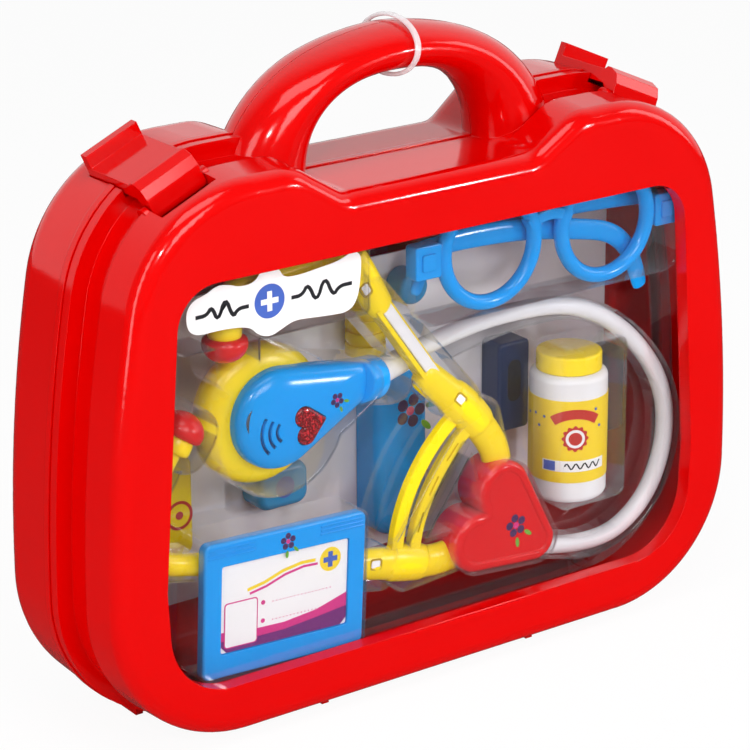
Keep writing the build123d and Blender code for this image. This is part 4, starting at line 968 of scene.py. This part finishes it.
def addGlasses():
    depth, blue = glasses["depth"], "blue_plastic"
    for side, (x, z) in glasses["lenses"].items():
        bpy.ops.object.select_all(action="DESELECT")
        bpy.ops.mesh.primitive_torus_add(location=spot(x, depth, z), rotation=(math.pi / 2, 0, 0),
                                         major_segments=96, minor_segments=20,
                                         major_radius=glasses["ring"] * mm, minor_radius=glasses["wire"] * mm)
        ring = bpy.context.object
        addPiece(ring, f"glasses_ring_{side}", blue, rear, ["glasses_frame"] if side == "left" else (),
                 smooth=60)
    for side, middle in glasses["blocks"].items():
        slab(f"glasses_block_{side}", roundedBox(middle, glasses["block"], 1.2), depth - 4.4, depth + 1.6,
             0.6, blue)
        slab(f"glasses_stud_{side}", roundedBox(middle, glasses["stud"], 0.8), depth + 1.4, depth + 2.4,
             0.4, blue)
    bridge = arcPoints(glasses["bridgeMiddle"], glasses["bridgeR"], 122, 58, 14)
    slab("glasses_bridge", strip(bridge, 2.1), depth - 2.2, depth + 2.2, 0.8, blue)
    tubeRun("glasses_temple_left", rounded(glasses["templeLeft"], 2.4), 21.4, 0.42, blue, ["temple_left"])
    tubeRun("glasses_temple_right", rounded(glasses["templeRight"], 2.2), 17.8, 0.42, blue, ["temple_right"])


addGlasses()
print("glasses made")

# ear tips
ears = {
    # name: foot of the collar, lean from upright
    "tips": {"upper": ((-83.6, 153.0), 180), "lower": ((-106.4, 111.0), 34)}, "depth": 20.8,
    # (X, Z, radius) stations of the lower ear tube
    "path": [(-70, 56.4, 4.6), (-82, 60.6, 4.3), (-97, 66.2, 4.2), (-112, 69.5, 4.2), (-119.5, 78, 4.1),
             (-118.5, 92, 4.0), (-112.5, 102.4, 4.0), (-106.4, 111.0, 4.0)],
    # (radius, way up) sections of a collar and of a tip below its round end
    "collar": [(0, -0.6), (4.4, -0.6), (5.6, -0.2), (6.2, 0.6), (6.3, 1.6), (6.1, 4.4), (5.7, 5.4), (0, 5.4)],
    "tip": [(0, 5.0), (6.6, 5.1), (7.9, 5.9), (8.25, 7.6)], "tipR": 8.25, "roundFrom": 7.6, "roundUp": 7.0}


def lathe(name, profile, foot, lean, material, replaced=()):
    # turned piece about an axis that leans in the plane of the window
    turn = math.radians(lean)
    along = Vector((math.sin(turn), 0, math.cos(turn)))
    across = Vector((math.cos(turn), 0, -math.sin(turn)))
    out = Vector((0, -1, 0))
    sides, rings = 48, []
    shape = bmesh.new()
    for r, up in profile:
        middle = spot(foot[0], ears["depth"], foot[1]) + along * up * mm
        count = 1 if r == 0 else sides
        rings.append([shape.verts.new(middle + (across * math.cos(2 * math.pi * k / sides)
                                                + out * math.sin(2 * math.pi * k / sides)) * r * mm)
                      for k in range(count)])
    for low, high in zip(rings, rings[1:]):
        for k in range(sides):
            after = (k + 1) % sides
            corners = [low[k % len(low)], low[after % len(low)], high[after % len(high)], high[k % len(high)]]
            shape.faces.new(list(dict.fromkeys(corners)))  # three corners at a pole
    mesh = bpy.data.meshes.new(name)
    shape.to_mesh(mesh)
    shape.free()
    piece = bpy.data.objects.new(name, mesh)
    bpy.context.scene.collection.objects.link(piece)
    closeAndTurnOut(piece)
    addPiece(piece, name, material, rear, replaced, smooth=50)


def addEarTips():
    tip = ears["tip"] + [(ears["tipR"] * math.cos(math.radians(a)),
                          ears["roundFrom"] + ears["roundUp"] * math.sin(math.radians(a)))
                         for a in range(12, 90, 13)]
    tip.append((0, ears["roundFrom"] + ears["roundUp"]))
    for name, (foot, lean) in ears["tips"].items():
        first = name == "upper"
        lathe(f"ear_collar_{name}", ears["collar"], foot, lean, "yellow_plastic",
              ["ear_collars"] if first else ())
        lathe(f"ear_tip_{name}", tip, foot, lean, "tip_red", ["ear_tips"] if first else ())
    tubeRun("ear_tube_low", rounded(ears["path"]), ears["depth"], 0.9, "yellow_plastic", ["ear_tube_lower"])


addEarTips()
print("ear tips made")

# prints, plain shapes only, and painted shade in the chest piece's grille grooves
def plusShape(middle, reach):
    corners = [(-1, -reach), (1, -reach), (1, -1), (reach, -1), (reach, 1), (1, 1), (1, reach), (-1, reach),
               (-1, 1), (-reach, 1), (-reach, -1), (-1, -1)]
    return [(middle[0] + u, middle[1] + v) for u, v in corners]


def flower(name, middle, size, depth, thick, turn):
    cx, cz = middle
    for petal in range(5):
        a = math.radians(turn + 72 * petal)
        petalAt = (cx + 0.62 * size * math.cos(a), cz + 0.62 * size * math.sin(a))
        decal(f"{name}_petal{petal}", arcPoints(petalAt, 0.34 * size, 0, 345, 18), depth, thick, "ink_plum")
    decal(f"{name}_heart", arcPoints(middle, 0.26 * size, 0, 345, 16), depth, thick, "ink_pink")
    for leaf in (-1, 1):
        a = math.radians(turn - 90 + 24 * leaf)
        leafAt = (cx + 1.45 * size * math.cos(a), cz + 1.45 * size * math.sin(a))
        shape = [(leafAt[0] + size * (0.42 * math.cos(t) * math.cos(a) - 0.18 * math.sin(t) * math.sin(a)),
                  leafAt[1] + size * (0.42 * math.cos(t) * math.sin(a) + 0.18 * math.sin(t) * math.cos(a)))
                 for t in np.linspace(0, 2 * math.pi, 15)[:-1]]
        decal(f"{name}_leaf{leaf + 1}", shape, depth, thick, "ink_green")


# places on the badge are measured across and up from its middle
badge = {"at": (-65.6, 48.4), "turn": -2.6, "face": 29.1, "half": 27.0, "high": 16.5, "bevel": 2.5,
         "photo": (-18.6, -6.4), "lines": (-1.0, -8.0), "dots": 17, "disc": (19.5, 10), "discR": 4.6,
         "swoosh": [(-15, 4.0), (-8, 5.4), (0, 8.2), (8, 9.6), (14, 9.4)],
         "ribs": {"left": (-33.0, -13.5), "right": (14.5, 33.0)}, "ribTop": 23.6, "ribStep": 1.5}


def onBadge(u, v):
    a = math.radians(badge["turn"])
    x, z = badge["at"]
    return (x + math.cos(a) * u - math.sin(a) * v, z + math.sin(a) * u + math.cos(a) * v)


def badgeShape(points):
    return [onBadge(u, v) for u, v in points]


def addBadgePrint():
    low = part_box("badge_card")[0].y / -mm
    ink = low + 0.06
    half, high, bevel = badge["half"], badge["high"], badge["bevel"]
    across = (-half, -14, 0, 14, half)
    wave, lower = ([(u, -high + up) for u, up in zip(across, rises)]
                   for rises in ((8.0, 6.6, 6.4, 8.2, 12.2), (4.6, 3.4, 3.6, 5.2, 7.0)))
    corner = [(half, -high + bevel), (half - bevel, -high), (-half + bevel, -high), (-half, -high + bevel)]
    swoosh = badge["swoosh"]
    prints = [("band_pink", wave + corner, 0, "ink_pink"),
              ("band_purple", lower + corner, 0.05, "ink_purple"),
              ("photo_line", roundedBox(badge["photo"], (14.2, 17.4), 1.4), 0.1, "ink_pink"),
              ("photo_field", roundedBox(badge["photo"], (13.3, 16.5), 1.1), 0.15, "label_paper")]
    for row, z in enumerate(badge["lines"]):
        prints.append((f"dot_mark{row}", arcPoints((-9.2, z + 0.4), 0.9, 0, 330, 12), 0, "ink_pink"))
        prints += [(f"line{row}_{step}", arcPoints((-5 + 1.55 * step, z), 0.26, 0, 300, 6), 0, "ink_pink")
                   for step in range(badge["dots"])]
    prints += [("swoosh_pink", strip(swoosh, 0.45), 0, "ink_pink"),
               ("swoosh_yellow", strip([(u - 1, v + 1.6) for u, v in swoosh], 0.6), 0, "ink_yellow"),
               ("disc", arcPoints(badge["disc"], badge["discR"], 0, 350, 36), 0, "ink_yellow"),
               ("plus", plusShape(badge["disc"], 3), 0.06, "ink_blue")]
    for name, shape, lift, material in prints:
        decal(f"badge_{name}", badgeShape(shape), ink + lift, 0.1, material)
    flower("badge_flower", onBadge(0.5, 20.9), 3.4, badge["face"] + 0.05, 0.12, turn=18)


def addHubPrint():
    face = hub["side"] + hub["edge"] - hub["recess"]
    edge = roundOff([(35.6, 55.6), (43.6, 55.2), (46.4, 47.6), (43.0, 38.4), (37.4, 38.8), (33.2, 46.6)], 4)
    decal("hub_sticker", edge, face + 0.08, 0.15, "sticker_paper")
    flower("hub_flower", (39.4, 49.2), 4.9, face + 0.14, 0.12, turn=30)


def addToyPrints():
    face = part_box("otoscope_handle")[0].y / -mm
    flower("handle_flower", (12.5, 92.0), 7.0, face + 0.05, 0.2, turn=70)
    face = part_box("thermometer")[0].y / -mm
    middle = (-88.6, 74.0)
    ring = arcPoints(middle, 5.0, 0, 360, 30)
    decal("thermometer_ring", strip(ring[:-1] + ring[:1], 0.6), face + 0.05, 0.2, "ink_red")
    decal("thermometer_dot", arcPoints(middle, 1.6, 0, 340, 14), face + 0.05, 0.2, "ink_red")
    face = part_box("pager")[0].y / -mm
    decal("pager_window", roundedBox((64.3, 92.0), (6.4, 17.0), 3.1), face + 0.05, 0.2, "ink_black")
    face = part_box("hammer_head")[0].y / -mm
    decal("hammer_spot", arcPoints((-43, 74), 4.2, 0, 350, 30), face + 0.05, 0.2, "ink_blue")


def layOn(names, target, base, lift, castFrom=-0.2):
    # moves flat prints and the painted groove shade onto the front of a curved piece, keeping their thickness
    skin = BVHTree.FromObject(bpy.data.objects[target], bpy.context.evaluated_depsgraph_get())
    for name in names:
        flat = bpy.data.objects[name]
        for vertex in flat.data.vertices:
            hit = skin.ray_cast(Vector((vertex.co.x, castFrom, vertex.co.z)), Vector((0, 1, 0)))[0]
            if hit is not None:
                vertex.co.y += hit.y + base * mm - lift * mm
        flat.data.update()


def addHousingPrintAndGrooveShade():
    made = set(bpy.data.objects.keys())
    flower("chest_flower", (-41.5, 117.2), 3.0, 20, 0.2, turn=50)
    # navy strips in the cut grille grooves: painted shade in the grooves
    for step, (reach, spread, deep) in enumerate(chest["grooves"]):
        decal(f"chest_groove{step}", strip(grilleArc(reach, spread), 0.5), 20, 0.2, "groove_shade_navy")
    layOn(sorted(set(bpy.data.objects.keys()) - made), "chest_housing_dome", 20, 0.12)


def addBadgeRibs():
    for row in range(3):
        for side, (u0, u1) in badge["ribs"].items():
            v = badge["ribTop"] - badge["ribStep"] * row
            decal(f"badge_rib_{side}{row}", badgeShape(strip([(u0, v), (u1, v)], 0.32)), badge["face"] + 0.28,
                  0.5, "blue_plastic")


addBadgePrint()
addBadgeRibs()
addHousingPrintAndGrooveShade()
addHubPrint()
addToyPrints()
print("prints laid")

# bottle label
bottle = {"x": 75.5, "depth": 14.1, "low": 50.0, "r": 15.2, "turn": -7.5, "printThick": 0.1, "cutStep": 0.8,
          # (across, up) places of the small dots
          "spots": [(-17, 26.5), (-12.5, 26), (-21.5, 25.5), (8.5, 29), (-15, 22), (10.5, 22)]}


def wrapLabel(piece, lift):
    for vertex in piece.data.vertices:
        u, z = vertex.co.x / mm, vertex.co.z / mm
        out = bottle["r"] + lift + (-vertex.co.y / mm)
        turn = (u + bottle["turn"]) / bottle["r"]
        vertex.co = spot(bottle["x"] + out * math.sin(turn), bottle["depth"] + out * math.cos(turn), z)
    piece.data.update()


def labelShape(name, outline, lift, material):
    # a flat print, cut into narrow upright strips so that it can bend round the bottle
    plate = plateFrom(outline, 0)
    raisePlate(plate, bottle["printThick"])
    first = min(u for u, z in outline)
    width = max(u for u, z in outline) - first
    editMode(plate)
    for cutAt in np.arange(first + bottle["cutStep"] / 2, first + width, bottle["cutStep"]):
        bpy.ops.mesh.select_all(action="SELECT")
        bpy.ops.mesh.bisect(plane_co=(cutAt * mm, 0, 0), plane_no=(1, 0, 0))
    objectMode()
    wrapLabel(plate, lift)
    closeAndTurnOut(plate, 0.001)
    addPiece(plate, name, material, rear, smooth=40)


def addLabel():
    z0 = bottle["low"] + 9
    band = arcPoints((0, z0 + 13.5), 14.4, 52, 128, 22)
    seal = (0, z0 + 18)
    teeth = [((4.9 + 0.45 * math.cos(12 * a)) * math.cos(a),
              seal[1] + (4.9 + 0.45 * math.cos(12 * a)) * math.sin(a))
             for a in np.linspace(0, 2 * math.pi, 73)[:-1]]
    low, high = z0 + 4.6, z0 + 9.0
    panel = [(-13, low), (13, low), (13, high), (-13, high)]
    square = [(-12.4, z0 + 4.9), (-7.6, z0 + 4.9), (-7.6, z0 + 8.7), (-12.4, z0 + 8.7)]
    wave = [(-4 + 0.5 * i, z0 + 6.8 + 1.1 * math.sin(0.9 * i)) for i in range(31)]
    prints = [("arc", strip(band, 1.9), 0.03, "ink_red"), ("seal", teeth, 0.03, "ink_red"),
              ("seal_ring", arcPoints(seal, 3.7, 0, 350, 32), 0.08, "label_paper"),
              ("seal_dot", arcPoints(seal, 2.6, 0, 350, 28), 0.13, "ink_red"),
              ("strip", panel, 0.03, "label_paper"), ("square", square, 0.08, "ink_blue"),
              ("wave", strip(wave, 0.3), 0.08, "ink_black")]
    prints += [(f"spot{step}", arcPoints((u, z0 + z), 0.6, 0, 330, 10), 0.03, "ink_blue")
               for step, (u, z) in enumerate(bottle["spots"])]
    for name, outline, lift, material in prints:
        labelShape(f"label_{name}", outline, lift, material)


for holder in nodes["bottle_label"].material_slots:
    holder.material = finish["ink_yellow"]
addLabel()
print("bottle label wrapped")

# sticker on the tray's face
sticker = {
    "depth": 30.16, "thick": 0.12,
    "edge": [(-104.5, 157), (-104.8, 163), (-102, 166.8), (-97, 167.8), (-92, 170.4), (-87, 169.6),
             (-83, 168), (-77, 168.4), (-74, 172.2), (-70.5, 174), (-67, 171.6), (-65, 167.8), (-58, 167.6),
             (-50, 168.6), (-42, 169.4), (-36, 172), (-32.4, 170.2), (-32.6, 163), (-34, 154), (-38, 150),
             (-46, 150.4),
             (-55, 151.2), (-61, 151.6), (-66, 149.6), (-71, 147.6), (-76, 149.4), (-79, 152.8), (-86, 154),
             (-94, 154.2), (-101, 154)],
    "beats": {"left": [(-101, 160.5), (-96.5, 160.5), (-94.5, 163.5), (-92, 157.2), (-89, 166), (-86, 157.5),
                       (-84, 160.5), (-79.5, 160.5)],
              "right": [(-62, 160), (-57.5, 160), (-55, 164), (-51.5, 155.8), (-48, 165.6), (-44.5, 157),
                        (-42, 160.4), (-36.5, 160.4)]},
    "disc": (-71, 160.6), "discR": 6.2, "plus": 3.6}


def addSticker():
    plate = plateFrom(roundOff(sticker["edge"], 3), sticker["depth"] - sticker["thick"])
    raisePlate(plate, sticker["thick"])
    closeAndTurnOut(plate)
    addPiece(plate, "face_sticker", "sticker_paper", rear, ["window_sticker"])
    ink = sticker["depth"] + 0.05
    prints = [(f"beat_{side}", strip(roundOff(beat, 2, closed=False), 0.7), ink, "ink_black")
              for side, beat in sticker["beats"].items()]
    prints += [("drop", arcPoints(sticker["disc"], sticker["discR"], 0, 350, 40), ink, "ink_blue"),
               ("plus", plusShape(sticker["disc"], sticker["plus"]), ink + 0.05, "sticker_paper")]
    for name, shape, depth, material in prints:
        decal(f"sticker_{name}", shape, depth, 0.1, material)


addSticker()
print("sticker laid")

# tie loop round the handle
# half is half of the loop's height and depth, sway how far it leans sideways, flat widens its wire
tie = {"x": 1.5, "half": (10.2, 17.4), "middle": 234.2, "wire": 0.8, "flat": 1.6, "sway": 2.0, "ring": 10}


def addTie():
    ring = tie["ring"] * mm
    bpy.ops.object.select_all(action="DESELECT")
    bpy.ops.mesh.primitive_torus_add(location=(0, 0, 0), major_segments=72, minor_segments=10,
                                     major_radius=ring, minor_radius=tie["wire"] * mm)
    loop = bpy.context.object
    for vertex in loop.data.vertices:
        a = math.atan2(vertex.co.y, vertex.co.x)
        out = math.hypot(vertex.co.x, vertex.co.y) - ring
        ry = tie["half"][1] * mm + out
        rz = tie["half"][0] * mm + out
        x = tie["x"] * mm + vertex.co.z * tie["flat"] + math.sin(a) * tie["sway"] * mm
        vertex.co = (x, ry * math.cos(a), tie["middle"] * mm + rz * math.sin(a))
    loop.data.update()
    closeAndTurnOut(loop, 0.0005)
    addPiece(loop, "tie_loop", "tie_clear", rear, smooth=60)
    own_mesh(loop)


addTie()
print("tie laid")
